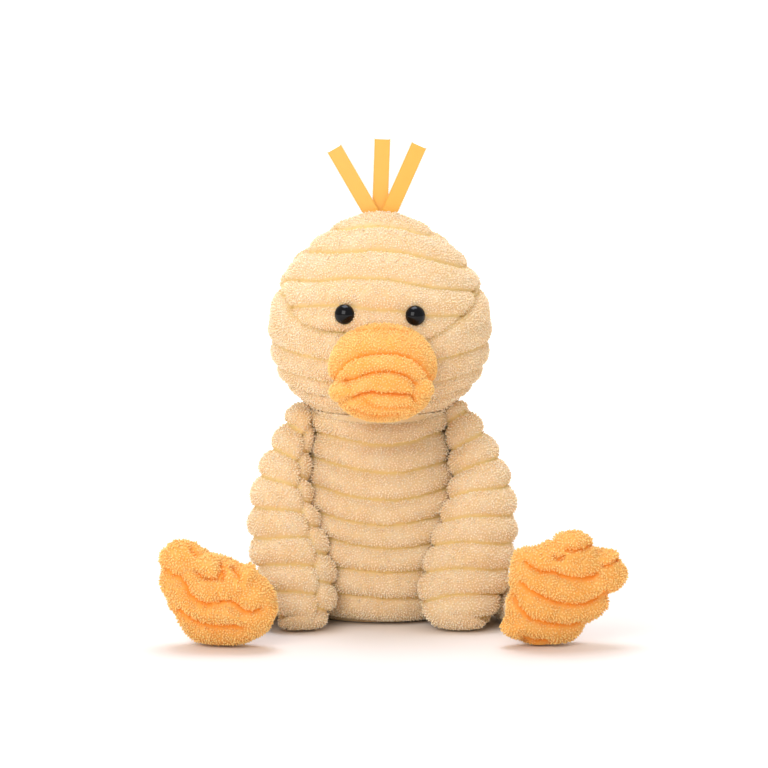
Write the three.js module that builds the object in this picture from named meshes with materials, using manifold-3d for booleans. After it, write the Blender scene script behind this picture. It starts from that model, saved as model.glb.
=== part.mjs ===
import * as THREE from 'three';
import { mergeVertices } from 'three/addons/utils/BufferGeometryUtils.js';
import Module from 'manifold-3d';

// A seated plush duck of wide-wale cord plush. Millimetres, +Z up, the face towards -Y.
// The origin is the middle of the flat seat. Left and right are as seen from the front.

// Driving dimensions

const fabricWall = 3;
const fit = 0.3;
const endRadius = 0.15;
const overrun = 6;

const walePitch = 11.6;
const waleRelief = 1.4;
const firstWale = 12.4;

const bodyWidth = 92;
const bodyDepth = 86;
const bodyHeight = 96;
const neckRadius = 28;
const pouchHeight = 22;

const neckBallRadius = 54;
const neckPivotRise = 42;
const neckOpeningRadius = 20;
const neckPlugDepth = 9;
const neckPlay = 0.5;
const threadRadius = 0.8;

const headWidth = 100;
const headDepth = 92;
const headTopRise = 44.6;
const headWaistDrop = 6;
const cheekDrop = 30;

const billWidth = 47.5;
const billHeight = 43.5;
const billReach = 40;
const billRootDepth = 36;
const billMiddleDrop = 22;
const billDrop = 4;
const billShift = 1;
const mouthFoldDepth = 2.6;
const billSquarenessShare = 0.86;
const mouthFoldShare = -0.5;
const mouthFoldBreadthShare = 0.1;

const eyeDiameter = 8.8;
const eyeBulge = 3.8;
const eyeSpacing = 31;
const eyeRise = 2.6;
const eyeShankRadius = 1.6;
const eyeShankLength = 11;
const eyeWasherRadius = 5.5;
const eyeWasherThickness = 1.2;

const ribbonWidth = 6.8;
const ribbonThickness = 0.6;
const ribbonLength = 31.5;
const ribbonLayerGap = 0.9;
const ribbonSpacing = 4.6;
const ribbonLeftLeanAngle = 30;
const ribbonMiddleLeanAngle = -2;
const ribbonRightLeanAngle = 24;
const ribbonBendAngle = 60;

const limbClearance = 0.7;

const shoulderInset = 8;
const shoulderForward = 5;
const shoulderDrop = 10;
const armWidth = 37.5;
const armDepth = 30;
const armPitch = 12.6;
const armTopDrop = 1;
const armTipHeight = 1;
const armLeanShare = 0.55;
const armSeamRadius = 5.5;
const armSwingPlaneAngle = 25;
const armSwingAngle = 60;

const hipOutset = 3;
const hipForward = 6;
const legWidth = 24;
const legHeight = 22;
const legLength = 80;
const legRootLength = 9;
const legSplayAngle = 24;
const legSwingAngle = 60;

const footWidth = 50;
const footLength = 53;
const footThickness = 21;
const footInset = 8.8;
const footForward = 93;
const footTurnAngle = 38;
const footTipAngle = 9;
const footYawAngle = 14;
const toeLobe = 4;
const toeSpreadAngle = 46;
const toeBreadthAngle = 13;
const footSeamRadius = 6;
const ankleHeight = 8;
const ankleFlexAngle = 35;
const ankleBackAngle = 10;

// Places that follow from the body's size

const neckPivotHeight = bodyHeight + neckPivotRise;
const headTopHeight = neckPivotHeight + headTopRise;
const headWaistHeight = neckPivotHeight - headWaistDrop;
const cheekHeight = neckPivotHeight - cheekDrop;
const billMiddleHeight = neckPivotHeight - billMiddleDrop;
const eyeHeight = neckPivotHeight + eyeRise;
const shoulderHeight = bodyHeight - shoulderDrop;
const armTopHeight = bodyHeight - armTopDrop;
const shoulderSpan = bodyWidth - 2 * shoulderInset;
const hipSpan = bodyWidth + 2 * hipOutset;

// Shares: hand-chosen places along each outline, as parts of the sizes above

const bodyOutlineShares = [
  [0, 0.76, 0.74],
  [0.03, 0.86, 0.85],
  [0.1, 0.955, 0.95],
  [0.26, 1, 1],
  [0.5, 0.925, 0.93],
  [0.7, 0.79, 0.8],
  [0.87, 0.672, 0.69],
];
const cheekOutlineShares = [[0.33, 0.965], [0.67, 0.993]];
const crownOutlineShares = [
  [0, 1],
  [0.16, 0.973],
  [0.32, 0.924],
  [0.475, 0.836],
  [0.614, 0.726],
  [0.733, 0.592],
  [0.842, 0.45],
  [0.92, 0.31],
  [0.976, 0.165],
  [1, 0],
];
const billOutlineShares = [
  [0, 0.88, 0.78, -0.6],
  [0.32, 1, 1, 0.05],
  [0.62, 0.97, 0.95, 0.35],
  [0.82, 0.84, 0.8, 0.7],
  [0.94, 0.6, 0.55, 0.92],
  [1, 0, 0, 1],
];
const armSpineShares = [
  [0, 0.92],
  [0.09, 1.01],
  [0.2, 1.1],
  [0.38, 1.13],
  [0.56, 1.06],
  [0.72, 0.99],
  [0.86, 0.94],
  [1, 0.91],
];
const armOutlineShares = [
  [0, 0, 0],
  [0.015, 0.26, 0.3],
  [0.06, 0.46, 0.56],
  [0.16, 0.53, 0.64],
  [0.3, 0.7, 0.78],
  [0.46, 0.87, 0.92],
  [0.64, 1, 1],
  [0.8, 0.95, 0.97],
  [0.9, 0.83, 0.85],
  [0.965, 0.6, 0.6],
  [0.992, 0.3, 0.3],
  [1, 0, 0],
];
const legOutlineShares = [
  [0, 0.66, 0.72],
  [0.15, 0.71, 0.76],
  [0.4, 0.79, 0.83],
  [0.7, 0.89, 0.91],
  [1, 1, 1],
];
const footRingShares = [0.5, 0.82, 0.97];
const fillRingShares = [0.7];
const footCentreShare = 0.06;

const bodySides = 20;
const armSides = 12;
const legSides = 10;
const billSides = 20;
const footSides = 24;
const sweepStepAngle = 30;
const outlineSteps = 40;
const neckBallSteps = 6;
const eyeDomeSteps = 5;
const threadSides = 6;
const ringsPerWale = 2;
const innerStations = 6;
const clearStations = 14;
const roundSides = 16;

const degrees = Math.PI / 180;
const up = new THREE.Vector3(0, 0, 1);

const wasm = await Module();
wasm.setup();

// Solids

function solidOf(geometry) {
  const plain = geometry.clone();
  plain.deleteAttribute('normal');
  plain.deleteAttribute('uv');
  const merged = mergeVertices(plain);
  return new wasm.Manifold(new wasm.Mesh({
    numProp: 3,
    vertProperties: new Float32Array(merged.attributes.position.array),
    triVerts: new Uint32Array(merged.index.array),
  }));
}

function geometryOf(solid) {
  const mesh = solid.getMesh();
  const geometry = new THREE.BufferGeometry();
  geometry.setAttribute('position', new THREE.BufferAttribute(mesh.vertProperties, 3));
  geometry.setIndex(new THREE.BufferAttribute(mesh.triVerts, 1));
  geometry.computeVertexNormals();
  return geometry;
}

function cut(solid, ...tools) {
  return tools.reduce((rest, tool) => rest.subtract(tool), solid);
}

// Closes a stack of rings of points into one solid, with a fan at each end.
function loft(rings) {
  const count = rings[0].length;
  const points = rings.flat();
  const triangles = [];
  for (let r = 0; r + 1 < rings.length; r += 1) {
    for (let i = 0; i < count; i += 1) {
      const a = r * count + i;
      const b = r * count + (i + 1) % count;
      triangles.push(a, b, b + count, a, b + count, a + count);
    }
  }
  const middle = (ring) => ring.reduce((sum, p) => sum.add(p), new THREE.Vector3()).divideScalar(count);
  const first = points.push(middle(rings[0])) - 1;
  const last = points.push(middle(rings.at(-1))) - 1;
  for (let i = 0; i < count; i += 1) {
    const j = (i + 1) % count;
    const end = (rings.length - 1) * count;
    triangles.push(first, j, i, last, end + i, end + j);
  }
  const geometry = new THREE.BufferGeometry().setFromPoints(points);
  let volume = 0;
  for (let t = 0; t < triangles.length; t += 3) {
    const [a, b, c] = [0, 1, 2].map((k) => points[triangles[t + k]]);
    volume += a.dot(b.clone().cross(c));
  }
  geometry.setIndex(volume > 0 ? triangles : triangles.reverse());
  return solidOf(geometry);
}

// Reads the sizes of an outline at any place along it.
class Outline {
  constructor(points) {
    const places = points.map((point) => new THREE.Vector3(...point));
    const curve = new THREE.CatmullRomCurve3(places, false, 'centripetal');
    this.samples = curve.getPoints(points.length * outlineSteps);
  }

  at(place) {
    const next = this.samples.findIndex((sample) => sample.x > place);
    if (next === 0) return this.samples[0].clone();
    if (next < 0) return this.samples.at(-1).clone();
    const before = this.samples[next - 1];
    const after = this.samples[next];
    return before.clone().lerp(after, (place - before.x) / (after.x - before.x));
  }
}

function grooveDepth(place, first, pitch) {
  return waleRelief * (1 - Math.abs(Math.sin(Math.PI * (place - first) / pitch)));
}

// Places of the rings: a few to each wale between two ends, and the ends' own.
function waleStations(from, to, first, pitch, ends) {
  const step = pitch / ringsPerWale;
  const places = [...ends];
  for (let place = first - Math.floor((first - from) / step) * step; place < to; place += step) {
    if (ends.every((end) => Math.abs(end - place) > step / 3) && place > from) places.push(place);
  }
  return places.sort((a, b) => a - b);
}

function evenStations(from, to, count) {
  return Array.from({ length: count }, (_, i) => from + (to - from) * i / (count - 1));
}

// Closer together near both ends, where a rounded form turns in.
function roundStations(from, to, count) {
  const shares = evenStations(0, Math.PI, count).map((turn) => (1 - Math.cos(turn)) / 2);
  return shares.map((share) => from + (to - from) * share);
}

function ellipse(sides, width, depth, place) {
  return Array.from({ length: sides }, (_, i) => {
    const turn = 2 * Math.PI * i / sides;
    return place(width * Math.cos(turn), depth * Math.sin(turn));
  });
}

// An upright form: level oval rings of the outline's width and depth, less an inset.
function uprightForm(outline, stations, inset, relief) {
  return loft(stations.map((z) => {
    const { y: width, z: depth } = outline.at(z);
    const shrink = inset + (relief ? grooveDepth(z, firstWale, walePitch) : 0);
    return ellipse(
      bodySides,
      Math.max(width - shrink, endRadius),
      Math.max(depth - shrink, endRadius),
      (x, y) => new THREE.Vector3(x, y, z),
    );
  }));
}

// A limb: oval rings square to a spine.
function limbForm({ spine, length, outline, sides, stations, inset, pitch }) {
  const across = new THREE.Vector3(1, 0, 0);
  return loft(stations.map((place) => {
    const share = Math.min(Math.max(place / length, 0), 1);
    const tangent = spine.getTangentAt(share);
    const centre = spine.getPointAt(share).addScaledVector(tangent, place - share * length);
    const sideways = across.clone().addScaledVector(tangent, -across.dot(tangent)).normalize();
    const forward = tangent.clone().cross(sideways);
    const size = outline.at(share);
    const shrink = inset + (pitch ? grooveDepth(place, 0, pitch) : 0);
    return ellipse(
      sides,
      Math.max(size.y - shrink, endRadius),
      Math.max(size.z - shrink, endRadius),
      (a, b) => centre.clone().addScaledVector(sideways, a).addScaledVector(forward, b),
    );
  }));
}

function cylinder(radius, from, to, sides = roundSides) {
  const along = to.clone().sub(from);
  const geometry = new THREE.CylinderGeometry(radius, radius, along.length(), sides);
  const lathed = new THREE.Vector3(0, 1, 0);
  geometry.applyQuaternion(new THREE.Quaternion().setFromUnitVectors(lathed, along.clone().normalize()));
  geometry.translate(...from.clone().add(to).divideScalar(2).toArray());
  return solidOf(geometry);
}

// The underside of a ball about the neck's pivot, as far up as the body reaches.
function neckBall(radius) {
  const bottom = neckPivotHeight - radius;
  const shares = evenStations(0, 1, neckBallSteps + 1);
  const stations = shares.map((share) => bottom + (cheekHeight - bottom) * share ** 2);
  return loft(stations.map((z) => {
    const round = Math.max(Math.sqrt(Math.max(radius ** 2 - (z - neckPivotHeight) ** 2, 0)), fit);
    return ellipse(bodySides, round, round, (x, y) => new THREE.Vector3(x, y, z));
  }));
}

// The space that a piece passes through as it turns about a hinge, a step at a time.
function sweep(solid, pivot, axis, from, to) {
  const count = Math.ceil((to - from) / sweepStepAngle);
  let swept = null;
  for (let i = 0; i <= count; i += 1) {
    const turn = new THREE.Matrix4().makeRotationAxis(axis, (from + (to - from) * i / count) * degrees);
    const move = new THREE.Matrix4().makeTranslation(pivot.x, pivot.y, pivot.z)
      .multiply(turn)
      .multiply(new THREE.Matrix4().makeTranslation(-pivot.x, -pivot.y, -pivot.z));
    const turned = solid.transform(move.elements);
    swept = swept ? swept.add(turned) : turned;
  }
  return swept;
}

// Materials

function finish(color, roughness) {
  return new THREE.MeshStandardMaterial({ color, roughness, metalness: 0 });
}
const creamPlush = () => finish('#f7ddb1', 0.95);
const orangePlush = () => finish('#ffc569', 0.95);
const fibreFilling = () => finish('#f4f2ec', 1);
const pouchCloth = () => finish('#dcd3c0', 0.9);
const blackGloss = () => finish('#0b0a0c', 0.12);
const washerPlastic = () => finish('#e8e6e0', 0.5);
const satinRibbon = () => finish('#fbc65a', 0.4);
const sewingThread = () => finish('#f0dcae', 0.7);

const group = new THREE.Group();

function addPiece(name, solid, material) {
  const mesh = new THREE.Mesh(geometryOf(solid), material);
  mesh.name = name;
  group.add(mesh);
}

// Head outline: a ball where it sits in the neck, full cheeks, a domed crown

function headHalfDepth(height, halfWidth) {
  const rise = THREE.MathUtils.smoothstep(height, cheekHeight, headWaistHeight);
  return halfWidth * (1 - (1 - headDepth / headWidth) * rise);
}

function headOutlinePoints() {
  const points = [];
  const bottom = neckPivotHeight - neckBallRadius;
  for (let i = 0; i <= neckBallSteps; i += 1) {
    const z = bottom + (cheekHeight - bottom) * (i / neckBallSteps) ** 2;
    const radius = Math.sqrt(Math.max(neckBallRadius ** 2 - (z - neckPivotHeight) ** 2, 0));
    points.push([z, radius, radius]);
  }
  const halfWidth = headWidth / 2;
  for (const [rise, width] of cheekOutlineShares) {
    const z = cheekHeight + (headWaistHeight - cheekHeight) * rise;
    points.push([z, halfWidth * width, headHalfDepth(z, halfWidth * width)]);
  }
  for (const [rise, width] of crownOutlineShares) {
    const z = headWaistHeight + (headTopHeight - headWaistHeight) * rise;
    points.push([z, halfWidth * width, headHalfDepth(z, halfWidth * width)]);
  }
  return points;
}

const headOutline = new Outline(headOutlinePoints());
const headBottomHeight = neckPivotHeight - neckBallRadius;

function headForm(inset, relief) {
  const bottom = headBottomHeight + inset;
  const top = headTopHeight - inset;
  const crownEnd = [top - waleRelief, top - fit];
  const stations = relief
    ? waleStations(bottom, top, firstWale, walePitch, [bottom, bottom + waleRelief, ...crownEnd])
    : roundStations(bottom, top, inset < 0 ? 2 * clearStations : innerStations + 2);
  return uprightForm(headOutline, stations, inset, relief);
}

// Body outline: a pear from the flat seat to the round neck

const bodyOutline = new Outline([
  ...bodyOutlineShares.map(([rise, width, depth]) => [
    bodyHeight * rise, bodyWidth / 2 * width, bodyDepth / 2 * depth,
  ]),
  [bodyHeight, neckRadius, neckRadius],
]);

function bodyForm(inset, relief) {
  const stations = relief
    ? waleStations(0, bodyHeight, firstWale, walePitch, [0, bodyHeight * bodyOutlineShares[1][0], bodyHeight])
    : evenStations(inset, bodyHeight, inset < 0 ? clearStations : innerStations);
  return uprightForm(bodyOutline, stations, inset, relief);
}

const bodyClearance = bodyForm(-limbClearance, false);
const axisPoint = (z) => new THREE.Vector3(0, 0, z);
const cupRadius = neckBallRadius + neckPlay;
const cupBottomHeight = neckPivotHeight - cupRadius;
const plugBottomHeight = cupBottomHeight - neckPlugDepth;
const aboveBody = axisPoint(bodyHeight + overrun);
const threadRing = neckRadius + threadRadius;
const threadDistance = neckBallRadius + fit + threadRadius;
const threadHeight = neckPivotHeight - Math.sqrt(threadDistance ** 2 - threadRing ** 2);

function threadTorus(radius) {
  const geometry = new THREE.TorusGeometry(threadRing, radius, threadSides, bodySides);
  geometry.translate(0, 0, threadHeight);
  return solidOf(geometry);
}

// Body: skin, filling and a pouch of pellets in the seat

addPiece('body_skin', cut(
  bodyForm(0, true),
  cut(bodyForm(fabricWall, false), neckBall(cupRadius + fabricWall)),
  neckBall(cupRadius),
  threadTorus(threadRadius + 2 * fit),
  cylinder(neckOpeningRadius, axisPoint(plugBottomHeight), aboveBody, bodySides),
), creamPlush());

const slab = (low, high) => {
  const geometry = new THREE.BoxGeometry(bodyWidth, bodyDepth, high - low);
  geometry.translate(0, 0, (low + high) / 2);
  return solidOf(geometry);
};
const bodyInside = cut(
  bodyForm(fabricWall + fit, false),
  neckBall(cupRadius + fabricWall + fit),
  cylinder(neckOpeningRadius, axisPoint(plugBottomHeight - fit), aboveBody, bodySides),
);
addPiece('body_filling', bodyInside.intersect(slab(pouchHeight + fit, bodyHeight)), fibreFilling());
addPiece('pellet_pouch', bodyInside.intersect(slab(0, pouchHeight)), pouchCloth());

// Neck: a packed plug of filling in the neck opening, and the closing thread round the seam

addPiece('neck_plug', cut(
  cylinder(neckOpeningRadius - fit, axisPoint(plugBottomHeight), axisPoint(bodyHeight), bodySides),
  neckBall(cupRadius),
), fibreFilling());
addPiece('neck_thread', threadTorus(threadRadius), sewingThread());

// Eyes: a glossy dome on a shank through the face, held by a washer inside

function eyeFrame(side) {
  const x = side * eyeSpacing / 2;
  const size = headOutline.at(eyeHeight);
  const y = -size.z * Math.sqrt(1 - (x / size.y) ** 2);
  const seat = new THREE.Vector3(x, y, eyeHeight);
  const crown = headTopHeight - headWaistHeight;
  const out = new THREE.Vector3(x / size.y ** 2, y / size.z ** 2, (eyeHeight - headWaistHeight) / crown ** 2);
  return { seat, out: out.normalize() };
}

function eyeLathe(profile, { seat, out }) {
  const geometry = new THREE.LatheGeometry(profile.map(([r, h]) => new THREE.Vector2(r, h)), roundSides);
  geometry.applyQuaternion(new THREE.Quaternion().setFromUnitVectors(new THREE.Vector3(0, 1, 0), out));
  geometry.translate(...seat.toArray());
  return solidOf(geometry);
}

function eyeSolid(frame) {
  const dome = evenStations(0, Math.PI / 2, eyeDomeSteps).map((turn) => [
    eyeDiameter / 2 * Math.cos(turn), 2 * fit + eyeBulge * Math.sin(turn),
  ]);
  dome.at(-1)[0] = 0;
  return eyeLathe([
    [0, -eyeShankLength],
    [eyeShankRadius, -eyeShankLength],
    [eyeShankRadius, fit],
    [eyeDiameter / 2, fit],
    ...dome,
  ], frame);
}

function roundSolid(frame, radius, low, high) {
  return eyeLathe([[0, low], [radius, low], [radius, high], [0, high]], frame);
}

const washerTop = -fabricWall - 2 * fit;
const washerBottom = washerTop - eyeWasherThickness;

function washerSolid(frame) {
  const hole = eyeShankRadius + fit;
  return eyeLathe([
    [hole, washerBottom],
    [eyeWasherRadius, washerBottom],
    [eyeWasherRadius, washerTop],
    [hole, washerTop],
    [hole, washerBottom],
  ], frame);
}

const eyes = [['left', -1], ['right', 1]].map(([name, side]) => ({ name, frame: eyeFrame(side) }));
const shankHoles = eyes.map(({ frame }) => roundSolid(frame, eyeShankRadius + fit, -eyeShankLength, overrun));
const eyePockets = eyes.flatMap(({ frame }) => [
  roundSolid(frame, eyeShankRadius + fit, -eyeShankLength - fit, 0),
  roundSolid(frame, eyeWasherRadius + fit, washerBottom - fit, 0),
]);
for (const { name, frame } of eyes) {
  addPiece(`eye_${name}`, eyeSolid(frame), blackGloss());
  addPiece(`eye_washer_${name}`, washerSolid(frame), washerPlastic());
}

// Head: skin and filling

const headOpening = cylinder(neckOpeningRadius, axisPoint(0), axisPoint(cheekHeight), bodySides);
const washerSeats = eyes.map(({ frame }) => roundSolid(
  frame, eyeWasherRadius + fit, washerBottom - fit, washerTop + fit,
));
addPiece('head_skin', cut(
  headForm(0, true), headForm(fabricWall, false), headOpening, ...shankHoles, ...washerSeats,
), creamPlush());
addPiece('head_filling', cut(headForm(fabricWall + fit, false), ...eyePockets), fibreFilling());

// Bill: a soft muzzle with a mouth fold, sewn on the face

function billForm(inset, relief) {
  const outline = new Outline(billOutlineShares.map(([reach, width]) => [
    reach * billReach, billWidth / 2 * width, 0,
  ]));
  const heights = new Outline(billOutlineShares.map(([reach, , height, drop]) => [
    reach * billReach, billHeight / 2 * height, billDrop * drop,
  ]));
  const end = billReach - inset;
  const stations = relief
    ? [...evenStations(0, billReach, innerStations).slice(0, -1), end - waleRelief, end - fit / 2]
    : evenStations(-overrun, end, innerStations - 1);
  return loft(stations.map((reach) => {
    const width = Math.max(outline.at(reach).y - inset, fit);
    const size = heights.at(reach);
    const height = Math.max(size.y - inset, fit);
    const middle = new THREE.Vector3(billShift, -billRootDepth - reach, billMiddleHeight - size.z);
    return Array.from({ length: billSides }, (_, i) => {
      const turn = 2 * Math.PI * i / billSides;
      const x = Math.sign(Math.cos(turn)) * Math.abs(Math.cos(turn)) ** billSquarenessShare;
      const z = Math.sin(turn);
      const folded = relief && Math.abs(z - mouthFoldShare) < mouthFoldBreadthShare;
      const fold = folded ? mouthFoldDepth * Math.min(reach / billReach * 2, 1) : 0;
      return new THREE.Vector3(
        middle.x + x * (width - Math.min(fold, width / 2)),
        middle.y,
        middle.z + z * (height - Math.min(fold, height / 2)),
      );
    });
  }));
}

const faceClearance = headForm(-fit, false);
addPiece('bill_skin', cut(billForm(0, true), billForm(fabricWall, false), faceClearance), orangePlush());
addPiece('bill_filling', cut(
  billForm(fabricWall + 2 * fit, false), headForm(-2 * fit, false),
), fibreFilling());

// Crest: three cut lengths of satin ribbon sewn in the crown seam

const crownClearance = headForm(-2 * fit, false);
const ribbons = [
  ['ribbon_left', -ribbonSpacing, -ribbonLeftLeanAngle, -1],
  ['ribbon_middle', 0, ribbonMiddleLeanAngle, 1],
  ['ribbon_right', ribbonSpacing, ribbonRightLeanAngle, -1],
];
for (const [name, x, lean, layer] of ribbons) {
  const geometry = new THREE.BoxGeometry(ribbonWidth, ribbonThickness, ribbonLength + overrun);
  geometry.translate(0, 0, (ribbonLength - overrun) / 2);
  geometry.rotateY(lean * degrees);
  const root = new THREE.Vector3(x, layer * ribbonLayerGap, headTopHeight - fit);
  geometry.translate(...root.toArray());
  const hinge = new THREE.Vector3(-layer, 0, 0);
  const clear = sweep(crownClearance, root, hinge, -ribbonBendAngle, 0);
  addPiece(name, cut(solidOf(geometry), clear), satinRibbon());
}

// Arms: each hangs from its shoulder seam, round the belly, to the floor between the legs

function armParts(side) {
  const spine = new THREE.CatmullRomCurve3(armSpineShares.map(([fall, span]) => new THREE.Vector3(
    side * shoulderSpan / 2 * span,
    -shoulderForward + armLeanShare * (fall * (armTipHeight - armTopHeight) + armTopHeight - shoulderHeight),
    armTopHeight + fall * (armTipHeight - armTopHeight),
  )), false, 'centripetal');
  const length = spine.getLength();
  const outline = new Outline(armOutlineShares.map(([place, width, depth]) => [
    place, armWidth / 2 * width, armDepth / 2 * depth,
  ]));
  const tip = [length - fit, length * armOutlineShares.at(-2)[0], length * armOutlineShares.at(-3)[0]];
  const top = [fit, length * armOutlineShares[1][0], length * armOutlineShares[2][0]];
  const outer = waleStations(0, length * armOutlineShares.at(-3)[0], 0, armPitch, [...top, ...tip]);
  const common = { spine, length, outline, sides: armSides };
  const form = (stations, inset, pitch) => limbForm({ ...common, stations, inset, pitch });
  const inner = (inset) => form(evenStations(inset, length - inset, innerStations), inset, 0);
  const pivot = new THREE.Vector3(side * shoulderSpan / 2, -shoulderForward, shoulderHeight);
  const plane = armSwingPlaneAngle * degrees;
  const axis = new THREE.Vector3(-Math.cos(plane), -side * Math.sin(plane), 0);
  const clear = sweep(bodyClearance, pivot, axis, -armSwingAngle, 0);
  const fillClear = sweep(bodyForm(-limbClearance - fabricWall, false), pivot, axis, -armSwingAngle, 0);
  const floor = slabBelow();
  const seam = cylinder(armSeamRadius, pivot, new THREE.Vector3(0, -shoulderForward, shoulderHeight));
  return {
    skin: cut(form(outer, 0, armPitch), inner(fabricWall), clear, seam, floor),
    filling: cut(inner(fabricWall + fit), fillClear),
  };
}

// The floor: nothing reaches below it, and what rests there is cut flat.
function slabBelow() {
  const span = 4 * footForward;
  const geometry = new THREE.BoxGeometry(span, span, span);
  geometry.translate(0, 0, -span / 2);
  return solidOf(geometry);
}

// Feet: webbed paddles with three toe lobes, soles to the front, heels on the floor

function footRadius(turn, inset) {
  const oval = 1 / Math.hypot(Math.cos(turn) * 2 / footLength, Math.sin(turn) * 2 / footWidth);
  const lobes = [-toeSpreadAngle, 0, toeSpreadAngle].map((toe) => {
    const away = Math.acos(Math.cos(turn - toe * degrees)) / degrees;
    return toeLobe * Math.exp(-((away / toeBreadthAngle) ** 2));
  });
  return oval - toeLobe / 2 + lobes.reduce((sum, lobe) => sum + lobe, 0) - inset;
}

function footPlacement(side) {
  const middleHeight = Math.hypot(
    footLength / 2 * Math.cos(footTurnAngle * degrees),
    footWidth / 2 * Math.sin(footTurnAngle * degrees),
  ) * Math.cos(footTipAngle * degrees) - toeLobe / 2 + limbClearance;
  const middleAcross = anklePivot(side).x - side * footInset;
  return new THREE.Matrix4().makeTranslation(middleAcross, -footForward, middleHeight)
    .multiply(new THREE.Matrix4().makeRotationZ(side * footYawAngle * degrees))
    .multiply(new THREE.Matrix4().makeRotationX(footTipAngle * degrees))
    .multiply(new THREE.Matrix4().makeRotationY(side * footTurnAngle * degrees));
}

function footForm(side, inset, shares) {
  const sides = shares === fillRingShares ? footSides / 2 : footSides;
  const place = footPlacement(side);
  const half = footThickness / 2 - inset;
  const ring = (share, sign) => Array.from({ length: sides }, (_, i) => {
    const turn = 2 * Math.PI * i / sides;
    const radius = footRadius(turn, inset) * share;
    const lift = half * Math.sqrt(1 - share ** 2) * sign;
    return new THREE.Vector3(radius * Math.sin(turn), lift, radius * Math.cos(turn)).applyMatrix4(place);
  });
  return loft([
    ring(footCentreShare, 1),
    ...shares.map((share) => ring(share, 1)),
    ring(1, 0),
    ...shares.toReversed().map((share) => ring(share, -1)),
    ring(footCentreShare, -1),
  ]);
}

// Legs: padded tubes from the hips to the backs of the feet

function legLine(side) {
  const turn = legSplayAngle * degrees;
  const along = new THREE.Vector3(side * Math.sin(turn), -Math.cos(turn), 0);
  const axis = along.clone().cross(up);
  const hip = new THREE.Vector3(side * hipSpan / 2, -hipForward, 0);
  return { along, axis, hip };
}

function legParts(side) {
  const { along, axis, hip } = legLine(side);
  const rise = ([, , height]) => legHeight / 2 * height + limbClearance;
  const spine = new THREE.LineCurve3(
    hip.clone().addScaledVector(along, -legRootLength).setZ(rise(legOutlineShares[0])),
    hip.clone().addScaledVector(along, legLength).setZ(rise(legOutlineShares.at(-1))),
  );
  const length = spine.getLength();
  const outline = new Outline(legOutlineShares.map(([place, width, height]) => [
    place, legWidth / 2 * width, legHeight / 2 * height,
  ]));
  const common = { spine, length, outline, sides: legSides };
  const form = (stations, inset, pitch) => limbForm({ ...common, stations, inset, pitch });
  const outer = waleStations(0, length, 0, walePitch, [0, length]);
  const hinge = hip.clone().setZ(limbClearance);
  const ankle = anklePivot(side);
  const foot = footForm(side, -limbClearance, footRingShares);
  const fillFoot = footForm(side, -limbClearance - fabricWall, fillRingShares);
  const body = sweep(bodyClearance, hinge, axis, 0, legSwingAngle);
  const fillBody = sweep(bodyForm(-limbClearance - fabricWall, false), hinge, axis, 0, legSwingAngle);
  return {
    skin: cut(
      form(outer, 0, walePitch),
      form(evenStations(-overrun, length + overrun, innerStations), fabricWall, 0),
      body,
      sweep(foot, ankle, axis, -ankleFlexAngle, ankleBackAngle),
      slabBelow(),
    ),
    filling: cut(
      form(evenStations(0, length, innerStations), fabricWall + 2 * fit, 0),
      fillBody,
      sweep(fillFoot, ankle, axis, -ankleFlexAngle, ankleBackAngle),
    ),
  };
}

function anklePivot(side) {
  const { along, hip } = legLine(side);
  return hip.clone().addScaledVector(along, legLength - footThickness / 2).setZ(ankleHeight);
}

function footParts(side) {
  const { along } = legLine(side);
  const ankle = anklePivot(side);
  const middle = new THREE.Vector3().applyMatrix4(footPlacement(side));
  const inLeg = ankle.clone().setZ(legHeight / 2).addScaledVector(along, -overrun);
  const seam = cylinder(footSeamRadius, inLeg, middle);
  return {
    skin: cut(
      footForm(side, 0, footRingShares),
      footForm(side, fabricWall, fillRingShares),
      seam,
      slabBelow(),
    ),
    filling: footForm(side, fabricWall + fit, fillRingShares),
  };
}

for (const [name, side] of [['left', -1], ['right', 1]]) {
  const arm = armParts(side);
  addPiece(`arm_${name}_skin`, arm.skin, creamPlush());
  addPiece(`arm_${name}_filling`, arm.filling, fibreFilling());
  const leg = legParts(side);
  addPiece(`leg_${name}_skin`, leg.skin, creamPlush());
  addPiece(`leg_${name}_filling`, leg.filling, fibreFilling());
  const foot = footParts(side);
  addPiece(`foot_${name}_skin`, foot.skin, orangePlush());
  addPiece(`foot_${name}_filling`, foot.filling, fibreFilling());
}

export default group;
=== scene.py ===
import math

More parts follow.
